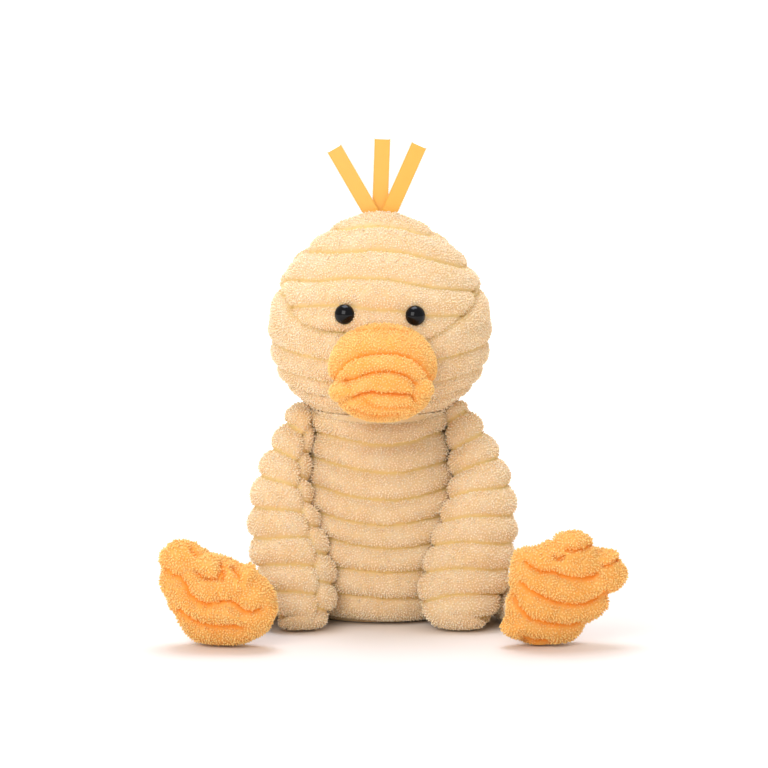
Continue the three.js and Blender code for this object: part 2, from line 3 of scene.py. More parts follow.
import bmesh
import bpy
import numpy as np
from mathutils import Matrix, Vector


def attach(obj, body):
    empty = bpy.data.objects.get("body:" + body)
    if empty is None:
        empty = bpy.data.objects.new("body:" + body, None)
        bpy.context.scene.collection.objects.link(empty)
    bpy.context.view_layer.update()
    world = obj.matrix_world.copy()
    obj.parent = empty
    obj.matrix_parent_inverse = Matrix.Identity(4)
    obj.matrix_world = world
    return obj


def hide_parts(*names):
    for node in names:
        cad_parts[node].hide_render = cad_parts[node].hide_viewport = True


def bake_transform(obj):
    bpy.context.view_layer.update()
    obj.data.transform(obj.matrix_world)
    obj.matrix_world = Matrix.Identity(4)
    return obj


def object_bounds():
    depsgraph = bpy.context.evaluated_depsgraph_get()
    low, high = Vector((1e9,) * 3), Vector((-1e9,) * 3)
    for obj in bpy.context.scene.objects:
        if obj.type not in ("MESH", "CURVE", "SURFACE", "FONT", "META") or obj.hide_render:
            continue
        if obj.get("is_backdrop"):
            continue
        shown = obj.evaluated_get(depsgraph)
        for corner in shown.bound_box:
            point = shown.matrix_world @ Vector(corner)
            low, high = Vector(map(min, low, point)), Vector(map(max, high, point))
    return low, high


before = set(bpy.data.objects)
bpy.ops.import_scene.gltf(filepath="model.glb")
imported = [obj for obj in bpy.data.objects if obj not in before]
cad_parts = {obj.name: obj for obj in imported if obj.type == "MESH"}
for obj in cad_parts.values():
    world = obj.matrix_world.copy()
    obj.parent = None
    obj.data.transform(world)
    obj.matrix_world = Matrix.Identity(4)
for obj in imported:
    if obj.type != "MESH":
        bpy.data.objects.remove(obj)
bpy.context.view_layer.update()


# Camera: a studio shot with a long lens that looks down on the duck a little. seen() gives
# where its points, in mm, lie in that view, across and up at the body, and seat() gives the
# points for such places, so that folds lie where the view shows them.

VIEW_RISE = math.radians(7)
VIEW_DISTANCE = 1800
VIEW_MIDDLE = np.array([1.8, 0, 104.0])
VIEW_UP_MIDDLE = VIEW_MIDDLE[2] * math.cos(VIEW_RISE)
IMAGE_WIDTH = 345.6
SENSOR_WIDTH = 36
FORWARD = np.array([0, math.cos(VIEW_RISE), -math.sin(VIEW_RISE)])
UPWARD = np.array([0, math.sin(VIEW_RISE), math.cos(VIEW_RISE)])
CAMERA_PLACE = VIEW_MIDDLE - FORWARD * VIEW_DISTANCE


def seen(points):
    """Where points of the duck, in mm, are seen: mm across and up in the view."""
    away = (points - VIEW_MIDDLE) @ FORWARD
    near = VIEW_DISTANCE / (VIEW_DISTANCE + away)
    across = points[..., 0] * near + VIEW_MIDDLE[0] * (1 - near)
    up = points @ UPWARD * near + VIEW_UP_MIDDLE * (1 - near)
    return across, up


def seat(across, up, on, facing):
    """The points, in mm, of the flat surface through on, facing that way, seen at those places."""
    across, up = np.asarray(across, float), np.asarray(up, float)
    at = (VIEW_MIDDLE + (across - VIEW_MIDDLE[0])[..., None] * np.array([1, 0, 0])
          + (up - VIEW_UP_MIDDLE)[..., None] * UPWARD)
    ray = at - CAMERA_PLACE
    on, facing = np.asarray(on, float), np.asarray(facing, float)
    reach = ((on - CAMERA_PLACE) @ facing) / (ray @ facing)
    return CAMERA_PLACE + ray * reach[..., None]


def shown(name, data, material=None):
    """The object that puts a mesh, a camera or a light into the scene."""
    piece = bpy.data.objects.new(name, data)
    bpy.context.collection.objects.link(piece)
    if material:
        data.materials.append(material)
    return piece


camera_data = bpy.data.cameras.new("camera")
camera_data.sensor_width = SENSOR_WIDTH
camera_data.lens = SENSOR_WIDTH * VIEW_DISTANCE / IMAGE_WIDTH
camera_data.clip_start = 0.05
camera_data.clip_end = 20
camera = shown("camera", camera_data)
camera.location = Vector(CAMERA_PLACE) / 1000
camera.rotation_euler = (math.pi / 2 - VIEW_RISE, 0, 0)
bpy.context.scene.camera = camera


# Body: a pear of cream cord plush, sewn from panels with a seam at each side and down
# the back, packed with polyester fibre over a pouch of pellets, so that it sits flat.
# The cord's wales run round it, each a soft roll with the bare ground in the groove.

WALE = 11.6
WALE_RELIEF = 3.7
PILE_LENGTH = 1.3
PILE_WIDTH = 0.95
PILE_SPACING = 0.92
PILE_LEAN = 0.5
NAP = (0, 0, -0.35)
SKIN_INSET = 0.5
LEAST_RADIUS = 0.05
FAR = 60
CREST_GAP = 6
GROOVE_SHOWS = (0.9, 0.8)
SEAM_SHOWS = (0.3, 0.7)
PILE_PARTS = (1.15, 0.85)
FLOOR_REACH = (1.1, 1.3)


def curve_through(points, steps=40):
    """A smooth line through points, as many steps to each stretch, with no loops at close ones."""
    points = np.asarray(points, float)
    ends = [2 * points[0] - points[1], *points, 2 * points[-1] - points[-2]]
    line = []
    for p0, p1, p2, p3 in zip(ends, ends[1:], ends[2:], ends[3:]):
        t1 = np.sqrt(np.linalg.norm(p1 - p0)) + 1e-9
        t2 = t1 + np.sqrt(np.linalg.norm(p2 - p1)) + 1e-9
        t3 = t2 + np.sqrt(np.linalg.norm(p3 - p2)) + 1e-9
        t = np.linspace(t1, t2, steps, endpoint=False)[:, None]
        a1 = (t1 - t) / t1 * p0 + t / t1 * p1
        a2 = (t2 - t) / (t2 - t1) * p1 + (t - t1) / (t2 - t1) * p2
        a3 = (t3 - t) / (t3 - t2) * p2 + (t - t2) / (t3 - t2) * p3
        b1 = (t2 - t) / t2 * a1 + t / t2 * a2
        b2 = (t3 - t) / (t3 - t1) * a2 + (t - t1) / (t3 - t1) * a3
        line.append((t2 - t) / (t2 - t1) * b1 + (t - t1) / (t2 - t1) * b2)
    return np.vstack([*line, points[-1:]])


def distances(line):
    """How far along a line each of its points is."""
    return np.concatenate([[0], np.cumsum(np.linalg.norm(np.diff(line, axis=0), axis=1))])


def evenly(line, count):
    """The line again in count points at equal distances, and how far along it each one is."""
    along = distances(line)
    places = np.linspace(0, along[-1], count)
    return np.stack([np.interp(places, along, line[:, k]) for k in range(line.shape[1])], 1), places


def bearings(columns):
    """The angles of columns at equal steps round a ring."""
    return 2 * np.pi * np.arange(columns) / columns


def facings(grid):
    """The outward direction at each point of a form: rings of points, one after another."""
    round_it = np.roll(grid, -1, 1) - np.roll(grid, 1, 1)
    along_it = np.gradient(grid, axis=0)
    out = np.cross(round_it, along_it)
    out /= np.linalg.norm(out, axis=2, keepdims=True) + 1e-12
    inward = np.sum(out * (grid - grid.mean((0, 1)))) < 0
    return -out if inward else out


def finer(grid, rings, columns):
    """A coarse form's values read at more rings and, round each ring, at more columns, smoothly."""
    def pull(p0, p1, p2, p3, t):
        """The smooth line's value a share t of the way from p1 to p2."""
        return 0.5 * (2 * p1 + (p2 - p0) * t + (2 * p0 - 5 * p1 + 4 * p2 - p3) * t ** 2
                      + (3 * p1 - p0 - 3 * p2 + p3) * t ** 3)
    count, around = grid.shape[:2]
    rows = np.linspace(0, count - 1, rings)
    low = np.clip(np.floor(rows).astype(int), 0, count - 2)
    near = [grid[np.clip(low + k, 0, count - 1)] for k in (-1, 0, 1, 2)]
    part = pull(*near, (rows - low)[:, None, None])
    turns = np.arange(columns) * around / columns
    low = np.floor(turns).astype(int)
    near = [part[:, (low + k) % around] for k in (-1, 0, 1, 2)]
    return pull(*near, (turns - low)[None, :, None])


def closed_mesh(name, grid, **values):
    """A mesh, in metres, of rings of points in mm with a point to close each end. Values go to
    its points."""
    rings, count = grid.shape[:2]
    points = np.vstack([grid.reshape(-1, 3), grid[0].mean(0), grid[-1].mean(0)])
    first, last = rings * count, rings * count + 1
    i = np.arange(count)
    j = (i + 1) % count
    faces = [np.stack([r * count + i, r * count + j, (r + 1) * count + j, (r + 1) * count + i], 1)
             for r in range(rings - 1)]
    ends = [np.stack([j, i, np.full(count, first)], 1),
            np.stack([(rings - 1) * count + i, (rings - 1) * count + j, np.full(count, last)], 1)]
    mesh = bpy.data.meshes.new(name)
    mesh.from_pydata((points / 1000).tolist(), [], np.vstack(faces).tolist() + np.vstack(ends).tolist())
    mesh.shade_smooth()
    work = bmesh.new()
    work.from_mesh(mesh)
    if work.calc_volume(signed=True) < 0:
        bmesh.ops.reverse_faces(work, faces=work.faces)
    work.to_mesh(mesh)
    work.free()
    for key, value in values.items():
        value = np.broadcast_to(value, (rings, count))
        value = np.append(value.reshape(-1), [value[0].mean(), value[-1].mean()])
        attribute = mesh.attributes.new(key, "FLOAT", "POINT")
        attribute.data.foreach_set("value", value.astype(np.float32))
    return mesh


COARSE_SCALE = 10
COARSE_RINGS, COARSE_COLUMNS = 22, 26
STUFFING_FRAMES = 20
STUFFING_PRESSURE = 4
STUFFING_ROOM = 1.6
CLOTH_MASS = 0.15
SEAM_HELD = 5


def stuffed(name, grid, held, most):
    """How far each point of a coarse form moves as the filling pushes it out: a cloth under
    pressure, held where held is true, and moved no further than most mm."""
    mesh = closed_mesh(name, grid * COARSE_SCALE)
    piece = shown(name, mesh)
    seams = piece.vertex_groups.new(name="seams")
    seams.add(np.flatnonzero(held.reshape(-1)).tolist(), 1.0, "REPLACE")
    cloth = piece.modifiers.new("stuffing", "CLOTH")
    cloth.settings.use_pressure = True
    cloth.settings.uniform_pressure_force = STUFFING_PRESSURE
    cloth.settings.effector_weights.gravity = 0
    cloth.settings.mass = CLOTH_MASS
    cloth.settings.vertex_group_mass = "seams"
    cloth.point_cache.frame_start = 1
    cloth.point_cache.frame_end = STUFFING_FRAMES
    for number in range(1, STUFFING_FRAMES + 1):
        bpy.context.scene.frame_set(number)
    swelled = piece.evaluated_get(bpy.context.evaluated_depsgraph_get()).data
    after = np.zeros(len(swelled.vertices) * 3)
    swelled.vertices.foreach_get("co", after)
    after = after.reshape(-1, 3)[:grid.shape[0] * grid.shape[1]].reshape(grid.shape) * 1000 / COARSE_SCALE
    bpy.context.scene.frame_set(1)
    bpy.data.objects.remove(piece)
    bpy.data.meshes.remove(mesh)
    moved = after - grid
    length = np.linalg.norm(moved, axis=2, keepdims=True)
    print("stuffing", name, "moved up to", round(float(length.max()), 2), "mm")
    return moved * np.minimum(1, most / np.maximum(length, 1e-9))


def upright(profile, rings, columns):
    """Level oval rings of an upright form, from its profile of half widths, half depths and heights."""
    line = evenly(profile, rings)[0]
    turn = bearings(columns)
    grid = np.empty((rings, columns, 3))
    grid[..., 0] = line[:, :1] * np.cos(turn)
    grid[..., 1] = line[:, 1:2] * np.sin(turn)
    grid[..., 2] = line[:, 2:]
    return grid


def drawn_in(line, inset, side_share):
    """A profile moved inwards. The share says how much of its slope is that of its half widths."""
    slope = np.gradient(line, axis=0)
    fall = slope[:, 0] * side_share + slope[:, 1] * (1 - side_share)
    out = np.stack([slope[:, 2], slope[:, 2], -fall], 1)
    out /= np.linalg.norm(out, axis=1, keepdims=True) + 1e-9
    inner = line - out * inset
    inner[:, :2] = np.maximum(inner[:, :2], LEAST_RADIUS)
    return inner


def roll(rise, flatness=0.72):
    """How deep a wale's soft roll lies below its crest, from 1 in the groove to 0, by its share
    of the way from the groove under it to the one over it. The roll hangs a little low."""
    return 1 - np.sin(np.pi * np.clip(rise, 0, 1) ** 0.84) ** flatness


def dip(gap, deep, width):
    """A narrow valley's depth, by the distance from its middle and its half width."""
    return deep * np.exp(-(gap / width) ** 2)


def pressed_in(grid, depth):
    """A form with each of its points moved inwards by a depth."""
    return grid - facings(grid) * depth[..., None]


def even_wales(phase, pitch):
    """For wales at one pitch: the distance to the nearest groove, and the share of the way from
    the groove below to the one above."""
    rise = phase - np.floor(phase)
    return np.minimum(rise, 1 - rise) * pitch, rise


def cord(gap, seam=np.inf, groove=GROOVE_SHOWS, stitch=SEAM_SHOWS, bare=PILE_PARTS):
    """How much of the ground shows and how thick the pile stands, by the distances from the
    nearest groove and seam. Each of the others is a share and a half width in mm."""
    ground = np.clip(dip(gap, *groove) + dip(seam, *stitch), 0, 1)
    return ground, np.clip(1 - dip(gap, *bare), 0, 1)


def linear(colour):
    """An sRGB hex colour as the linear colour that a shader works in."""
    parts = [int(colour[k:k + 2], 16) / 255 for k in (1, 3, 5)]
    parts = [p / 12.92 if p <= 0.04045 else ((p + 0.055) / 1.055) ** 2.4 for p in parts]
    return (*parts, 1)


def feed(tree, made, inputs):
    """Gives a node's inputs a value each, or a link from a socket or from a node's first output."""
    for key, source in inputs.items():
        if isinstance(source, bpy.types.Node):
            source = next(socket for socket in source.outputs if socket.enabled)
        if isinstance(source, bpy.types.NodeSocket):
            tree.links.new(source, made.inputs[key])
        else:
            made.inputs[key].default_value = source


def node(tree, kind, inputs=None, **settings):
    """Adds a node to a tree, with its settings and what feeds its inputs."""
    made = tree.nodes.new(kind)
    for key, value in settings.items():
        setattr(made, key, value)
    feed(tree, made, inputs or {})
    return made


def new_finish(name):
    """A material of that name, its tree and its shader."""
    material = bpy.data.materials.new(name)
    material.use_nodes = True
    return material, material.node_tree, material.node_tree.nodes["Principled BSDF"]


def cord_plush(name, tip, root, ground):
    """Knitted polyester cord plush: a short brushed pile in rolls on a thin ground cloth.
    The pile is matt with a soft rim of light. Its tufts are painted paler at their tips, a
    painted highlight, and darker and warmer at their roots and on the cloth between them,
    painted warm shade deep in the pile. The ground's deeper dye shows in the grooves.
    Patches about 9 mm wide, where the brush leaves the nap leaning its own way, are painted
    lighter and darker as painted shade. The fibres are finer than the grain of about 1 mm,
    which is as coarse as it has to be to show."""
    material, tree, shader = new_finish(name)
    place = node(tree, "ShaderNodeTexCoord").outputs["Object"]
    height, groove, tint = [node(tree, "ShaderNodeAttribute", attribute_name=key).outputs["Fac"]
                            for key in ("tip", "groove", "tint")]
    # Painted shade: patches about 9 mm wide, where the brushed nap leans its own way, are painted lighter and
    # darker.
    brushed = node(tree, "ShaderNodeTexNoise",
                   {"Vector": place, "Scale": 110.0, "Detail": 3.0, "Roughness": 0.6})
    lean = node(tree, "ShaderNodeMath", {0: brushed, 1: 0.5, 2: -0.06}, operation="MULTIPLY_ADD")
    # Painted light and shade: the share towards the pale tip colour, a painted highlight, and away from the
    # darker, warmer root colour, painted warm shade; the brushed patches shift it.
    painted_light_share = node(tree, "ShaderNodeMath", {0: height, 1: 0.75, 2: lean},
                operation="MULTIPLY_ADD", use_clamp=True)
    pile = node(tree, "ShaderNodeMix", {0: painted_light_share, 6: linear(root), 7: linear(tip)}, data_type="RGBA")
    varied = node(tree, "ShaderNodeMapRange", {"Value": tint, "To Min": 0.87, "To Max": 1.06})
    toned = node(tree, "ShaderNodeMix", {0: 1, 6: pile, 7: varied}, data_type="RGBA", blend_type="MULTIPLY")
    deep = node(tree, "ShaderNodeMix", {0: groove, 6: toned, 7: linear(ground)}, data_type="RGBA")
    grain = node(tree, "ShaderNodeTexNoise",
                 {"Vector": place, "Scale": 900.0, "Detail": 2.0, "Roughness": 0.6})
    bump = node(tree, "ShaderNodeBump", {"Height": grain, "Strength": 0.3, "Distance": 0.0006})
    feed(tree, shader, {
        "Base Color": deep, "Normal": bump, "Roughness": 0.9, "Specular IOR Level": 0.2,
        "Subsurface Weight": 0.35, "Subsurface Radius": (0.9, 0.55, 0.35), "Subsurface Scale": 0.0016,
        "Sheen Weight": 0.3, "Sheen Roughness": 0.5, "Sheen Tint": linear("#ffe3b8")})
    return material


# Cream plush: tip colour with painted highlight, root colour with painted warm shade, ground colour.
cream_plush = cord_plush("cord_plush_cream", "#fff6e4", "#f2c98f", "#e7c57c")


def new_tree(name, gives, **takes):
    """A Geometry Nodes tree and its input sockets, each with its label and kind."""
    tree = bpy.data.node_groups.new(name, "GeometryNodeTree")
    for label, kind in takes.items():
        tree.interface.new_socket(label, in_out="INPUT", socket_type="NodeSocket" + kind)
    tree.interface.new_socket(gives, in_out="OUTPUT", socket_type="NodeSocketGeometry")
    return tree, node(tree, "NodeGroupInput").outputs


def end_tree(tree, gives, instances, fabric):
    """Ends a tree with its instances made real and in their fabric."""
    solid = node(tree, "GeometryNodeRealizeInstances", {"Geometry": instances})
    dressed = node(tree, "GeometryNodeSetMaterial", {"Geometry": solid, "Material": fabric})
    node(tree, "NodeGroupOutput", {gives: dressed})
    return tree


def pile_tree():
    """Geometry Nodes that cover a cloth with tufts of pile: small closed lozenges set along
    the cloth's own facing, leaning with the nap, in swirls about 3 mm wide, thinner where its
    pile value is low."""
    crowding, swirling = 2.2, 3.4
    tree, given = new_tree(
        "pile_tufts", "Pile", Cloth="Geometry", Spacing="Float", Length="Float", Width="Float",
        Lean="Float", Nap="Vector", Seed="Int", Fabric="Material")
    thick = node(tree, "GeometryNodeInputNamedAttribute", {"Name": "pile"}, data_type="FLOAT")
    crowd = node(tree, "ShaderNodeMath", {0: given["Spacing"], 1: given["Spacing"]}, operation="MULTIPLY")
    density = node(tree, "ShaderNodeMath", {0: crowding, 1: crowd}, operation="DIVIDE")
    spread = node(tree, "GeometryNodeDistributePointsOnFaces",
                  {"Mesh": given["Cloth"], "Distance Min": given["Spacing"], "Density Max": density,
                   "Density Factor": thick, "Seed": given["Seed"]}, distribute_method="POISSON")
    stray = node(tree, "FunctionNodeRandomValue",
                 {0: (-1, -1, -1), 1: (1, 1, 1), "Seed": given["Seed"]}, data_type="FLOAT_VECTOR")
    strayed = node(tree, "ShaderNodeVectorMath", {0: stray, "Scale": given["Lean"]}, operation="SCALE")
    swirl = node(tree, "ShaderNodeTexNoise", {"Scale": 330.0, "Detail": 1.0}).outputs["Color"]
    centred = node(tree, "ShaderNodeVectorMath", {0: swirl, 1: (0.5, 0.5, 0.5)}, operation="SUBTRACT")
    swirled = node(tree, "ShaderNodeVectorMath",
                   {0: centred, 1: (swirling, swirling, swirling), 2: strayed}, operation="MULTIPLY_ADD")
    napped = node(tree, "ShaderNodeVectorMath", {0: swirled, 1: given["Nap"]}, operation="ADD")
    aimed = node(tree, "ShaderNodeVectorMath", {0: napped, 1: spread.outputs["Normal"]}, operation="ADD")
    turned = node(tree, "FunctionNodeAlignRotationToVector", {"Vector": aimed}, axis="Z")
    tuft = node(tree, "GeometryNodeMeshUVSphere", {"Segments": 4, "Rings": 2, "Radius": 0.5})
    raised = node(tree, "GeometryNodeTransform", {"Geometry": tuft, "Translation": (0, 0, 0.3)})
    # The tip value runs from 0 at a tuft's root to 1 at its tip; from it the plush material paints pale tips
    # and darker roots, painted light and shade.
    where = node(tree, "ShaderNodeSeparateXYZ", {0: node(tree, "GeometryNodeInputPosition")})
    tipped = node(tree, "ShaderNodeMapRange", {"Value": where.outputs["Z"], "From Min": 0.1, "From Max": 1.0})
    marked = node(tree, "GeometryNodeStoreNamedAttribute",
                  {"Geometry": raised, "Name": "tip", "Value": tipped}, data_type="FLOAT", domain="POINT")
    grown = node(tree, "FunctionNodeRandomValue", {2: 0.75, 3: 1.3}, data_type="FLOAT")
    shorn = node(tree, "ShaderNodeMapRange", {"Value": thick, "To Min": 0.4})
    trimmed = node(tree, "ShaderNodeMath", {0: grown, 1: shorn}, operation="MULTIPLY")
    long = node(tree, "ShaderNodeMath", {0: given["Length"], 1: trimmed}, operation="MULTIPLY")
    size = node(tree, "ShaderNodeCombineXYZ", {"X": given["Width"], "Y": given["Width"], "Z": long})
    set_out = node(tree, "GeometryNodeInstanceOnPoints",
                   {"Points": spread, "Instance": marked, "Rotation": turned, "Scale": size})
    chance = node(tree, "FunctionNodeRandomValue", {"Seed": given["Seed"]}, data_type="FLOAT")
    tinted = node(tree, "GeometryNodeStoreNamedAttribute",
                  {"Geometry": set_out, "Name": "tint", "Value": chance},
                  data_type="FLOAT", domain="INSTANCE")
    return end_tree(tree, "Pile", tinted, given["Fabric"])


PILE = pile_tree()


def fill_in(modifier, **values):
    """Sets a Geometry Nodes modifier's inputs, each found by its label."""
    sockets = {item.name: item.identifier for item in modifier.node_group.interface.items_tree
               if item.in_out == "INPUT"}
    for label, value in values.items():
        modifier[sockets[label]] = value


def bake(name, source, modifier):
    """The modifier's result as a plain mesh object of its own. The modifier comes off."""
    bpy.context.view_layer.update()
    shape = source.evaluated_get(bpy.context.evaluated_depsgraph_get())
    mesh = bpy.data.meshes.new_from_object(shape)
    mesh.name = name
    source.modifiers.remove(modifier)
    return shown(name, mesh)


def sew(name, grid, fabric, groove, pile, seed, length=PILE_LENGTH, width=PILE_WIDTH):
    """A finished padded form and the pile that stands on it, but for where it lies on the floor."""
    pile = pile * np.clip((grid[..., 2] - FLOOR_REACH[0]) / FLOOR_REACH[1], 0, 1)
    skin = shown(name, closed_mesh(name, grid, groove=groove, pile=pile), fabric)
    grow = skin.modifiers.new("pile", "NODES")
    grow.node_group = PILE
    fill_in(grow, Spacing=PILE_SPACING / 1000, Length=length / 1000, Width=width / 1000, Lean=PILE_LEAN,
            Nap=NAP, Seed=seed, Fabric=fabric)
    return skin, bake(f"{name}_pile", skin, grow)


BODY_HALF_WIDTH = 46
BODY_HALF_DEPTH = 43
BODY_HEIGHT = 96
BODY_PROFILE = [(0.0, 0.0, 0.0), (0.5, 0.49, 0.0), (0.72, 0.7, 0.002), (0.84, 0.83, 0.026),
                (0.955, 0.95, 0.1), (1, 1, 0.26), (0.925, 0.93, 0.5), (0.79, 0.8, 0.7),
                (0.7, 0.72, 0.83), (0.685, 0.73, 0.91), (0.677, 0.724, 0.966)]
NECK_CUP = [(30.5, 93.6), (30.1, 93.3), (29.95, 92.2), (29.9, 90.2), (29.2, 89.7), (26.4, 88.7),
            (21.2, 86.3), (20.5, 85.4), (20.4, 78), (20, 74), (18, 73.6), (0.05, 73.6)]
BACK_WALE = 7.6
BODY_LOWEST = 0.1
SEAT_LEVEL = 0.2
PILE_LOWEST = 1.2
SEAT_HELD = 3
NECK_HELD = 14
BODY_ROLL = 0.78
BODY_SEAM = (1.3, 1.5)
SIDE_SEAM = 2
SIDE_SEAM_FROM = 8
UNDER_ARM, UNDER_ARM_FADE, UNDER_ARM_FRONT = 26, 8, -34
ARM_PRESS = 0.55
BODY_WALES = [
    [(-40, 84.6), (-28.4, 80.9), (-16.4, 78.0), (-4.7, 75.7), (6.1, 75.5), (16.1, 77.1), (26.9, 80.9),
     (40, 86)],
    [(-42, 74.5), (-30.1, 70.5), (-21.4, 67.6), (-9.7, 65.1), (1.9, 63.4), (11.9, 63.8), (30.2, 68.6),
     (42, 72.5)],
    [(-44, 61.5), (-27.2, 57.2), (-17.2, 53.8), (-4.7, 51.8), (7.7, 51.2), (18.5, 53.0), (29.4, 56.2),
     (44, 60)],
    [(-45, 49), (-25.2, 44.5), (-17.2, 42.2), (-6.4, 40.4), (3.6, 39.5), (13.5, 40.7), (27.7, 43.8),
     (45, 48)],
    [(-46, 38.5), (-22.2, 33.4), (-13.1, 31.0), (-3.1, 29.5), (6.1, 29.0), (15.2, 29.7), (24.4, 31.6),
     (46, 37)],
    [(-46, 24.5), (-19.7, 20.3), (-9.7, 19.0), (1.9, 17.9), (11.9, 18.2), (19.4, 19.0), (46, 24)],
    [(-46, 11.5), (-18.9, 7.9), (-9.7, 6.8), (1.9, 5.6), (11.9, 5.6), (17.3, 5.9), (46, 11)]]


def between(across, up, lines, pitch):
    """For grooves that lie one above another in the view: the distance to the nearest one, and
    the share of the way up from the one below to the one above. Past the last ones they go on
    at the pitch."""
    heights = np.sort(np.stack([np.interp(across, *np.array(line).T) for line in lines]), axis=0)
    steps = pitch * (1 + np.arange(4))[:, None, None]
    heights = np.concatenate([heights[0] - steps[::-1], heights, heights[-1] + steps])
    order = np.clip((heights < up).sum(0), 1, len(heights) - 1)
    low = np.take_along_axis(heights, order[None] - 1, 0)[0]
    high = np.take_along_axis(heights, order[None], 0)[0]
    return np.minimum(up - low, high - up), (up - low) / np.maximum(high - low, 1)


body_line = [(w * BODY_HALF_WIDTH, d * BODY_HALF_DEPTH, h * BODY_HEIGHT) for w, d, h in BODY_PROFILE]


def body_profile(inset):
    """The body's outline from the seat up to the neck, then down into the cup for the head."""
    inner = drawn_in(evenly(curve_through(body_line, 12), 150)[0], inset, 0.5)
    inner[:, 2] = np.maximum(inner[:, 2], SEAT_LEVEL)
    cup = curve_through([(r, r, z) for r, z in NECK_CUP], 6)
    return np.vstack([inner, cup])


def body_seam_gap(grid):
    """Distance from the side seams and the seam down the back."""
    side = np.abs(grid[..., 1] - SIDE_SEAM) + FAR * (np.abs(grid[..., 0]) < SIDE_SEAM_FROM)
    back = np.abs(grid[..., 0]) + FAR * (grid[..., 1] < 0)
    return np.minimum(side, back)


body_coarse = upright(body_profile(STUFFING_ROOM), COARSE_RINGS, COARSE_COLUMNS)
body_held = (body_coarse[..., 2] < SEAT_HELD) | (body_seam_gap(body_coarse) < SEAM_HELD)
body_held |= np.arange(COARSE_RINGS)[:, None] > NECK_HELD
body_moved = stuffed("body_stuffing", body_coarse, body_held, STUFFING_ROOM)
BODY_RINGS, BODY_COLUMNS = 320, 260
body_grid = upright(body_profile(SKIN_INSET), BODY_RINGS, BODY_COLUMNS)
body_grid = body_grid + finer(body_moved, BODY_RINGS, BODY_COLUMNS)
gap_front, rise_front = between(*seen(body_grid), BODY_WALES, WALE)
gap_back, rise_back = even_wales((body_grid[..., 2] - BACK_WALE) / WALE, WALE)
front = body_grid[..., 1] < SIDE_SEAM
rings = np.arange(BODY_RINGS)
heights = evenly(body_profile(SKIN_INSET), BODY_RINGS)[0][:, 2]
brim = np.argmax(heights)
bushy = (rings < brim + 3)[:, None]
outside = ((rings < brim - 1) & (heights > 0.6))[:, None]
gap = np.where(outside, np.where(front, gap_front, gap_back), CREST_GAP)
rise = np.where(outside, np.where(front, rise_front, rise_back), 0.5)
seam = body_seam_gap(body_grid) + FAR * ~outside
under_arm = np.clip((np.abs(body_grid[..., 0]) - UNDER_ARM) / UNDER_ARM_FADE, 0, 1)
under_arm = under_arm * (body_grid[..., 1] > UNDER_ARM_FRONT)
depth = WALE_RELIEF * roll(rise, BODY_ROLL) * (1 - ARM_PRESS * under_arm) + dip(seam, *BODY_SEAM)
body_grid = pressed_in(body_grid, depth)
body_grid[..., 2] = np.maximum(body_grid[..., 2], BODY_LOWEST)
groove, pile = cord(gap, seam)
pile = pile * bushy * (body_grid[..., 2] > PILE_LOWEST)
body_skin, body_pile = sew("body", body_grid, cream_plush, groove, pile, 11)
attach(body_skin, "root")
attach(body_pile, "root")
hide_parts("body_skin", "body_filling", "pellet_pouch")


# Head: a forehead panel in front, two cheek and side panels that wrap round from the back
# to the bill, sewn together along darts beside the face and over the crown, and packed
# firmly. Its underside is a ball that sits in the neck and turns there.

HEAD_BALL = 54
NECK_PIVOT = 138
CHEEK_HEIGHT = 108
HEAD_WAIST = 132
HEAD_TOP = 182.6
HEAD_HALF_WIDTH = 50
HEAD_FLATNESS = 0.08
CHEEKS = [(0.33, 0.965), (0.67, 0.993)]
CROWN = [(0, 1), (0.16, 0.973), (0.32, 0.924), (0.475, 0.836), (0.614, 0.726), (0.733, 0.592),
         (0.842, 0.45), (0.92, 0.31), (0.976, 0.165), (1, 0)]
FOREHEAD_GROOVES = [
    [(-38.2, 138.4), (-28.8, 138.9), (-16.7, 138.9), (-2.7, 136.9), (8.1, 136.5), (11.7, 135.6),
     (19.4, 134.2), (36.5, 134.2)],
    [(-40.5, 150.9), (-28.8, 150.4), (-14.8, 151.8), (4.0, 151.3), (14.4, 149.1), (27.0, 147.0),
     (43.6, 145.9)],
    [(-29.7, 163.9), (-20.2, 163.5), (-2.7, 164.8), (9.9, 163.9), (22.9, 160.8), (37.4, 156.9)],
    [(-15.8, 174.2), (-9.9, 175.4), (-1.4, 175.8), (9.9, 174.7), (20.2, 171.6)],
]
LEFT_DART = [(-46.5, 152.0), (-44.1, 144.6), (-41.9, 136.0), (-34.6, 129.7), (-26.1, 126.6), (-15.8, 125.7)]
RIGHT_DART = [(20.2, 121.6), (22.9, 123.0), (39.1, 133.3), (43.6, 140.1), (45.5, 149.5)]
CHEEK_WALES = (119.2, 108.4)
CHEEK_CLIMB = 10
EYE_SPACING = 31
EYE_HEIGHT = 140.6
EYE_RADIUS = 4.5
FOREHEAD_PITCH = 12.5
CLIMB_FROM, CLIMB_OVER = 0.52, 2.0
ONE_ROLL_TO, ONE_ROLL_FADE = 1.75, 0.4
CROWN_SEAM_LOW = 148
HEAD_HELD = (105, 179)
UNDER_BILL = [(-15, 60), (19.5, 60)]
NECK_TOP, NECK_FADE = 99, 6
HEAD_RELIEF = 0.75
HEAD_ROLL = 0.68
HEAD_SEAM = (1.6, 1.6)
EYE_HOLLOW = (0.7, 5)
EYE_FLAT = 9
SIDES = ((-1, "left"), (1, "right"))


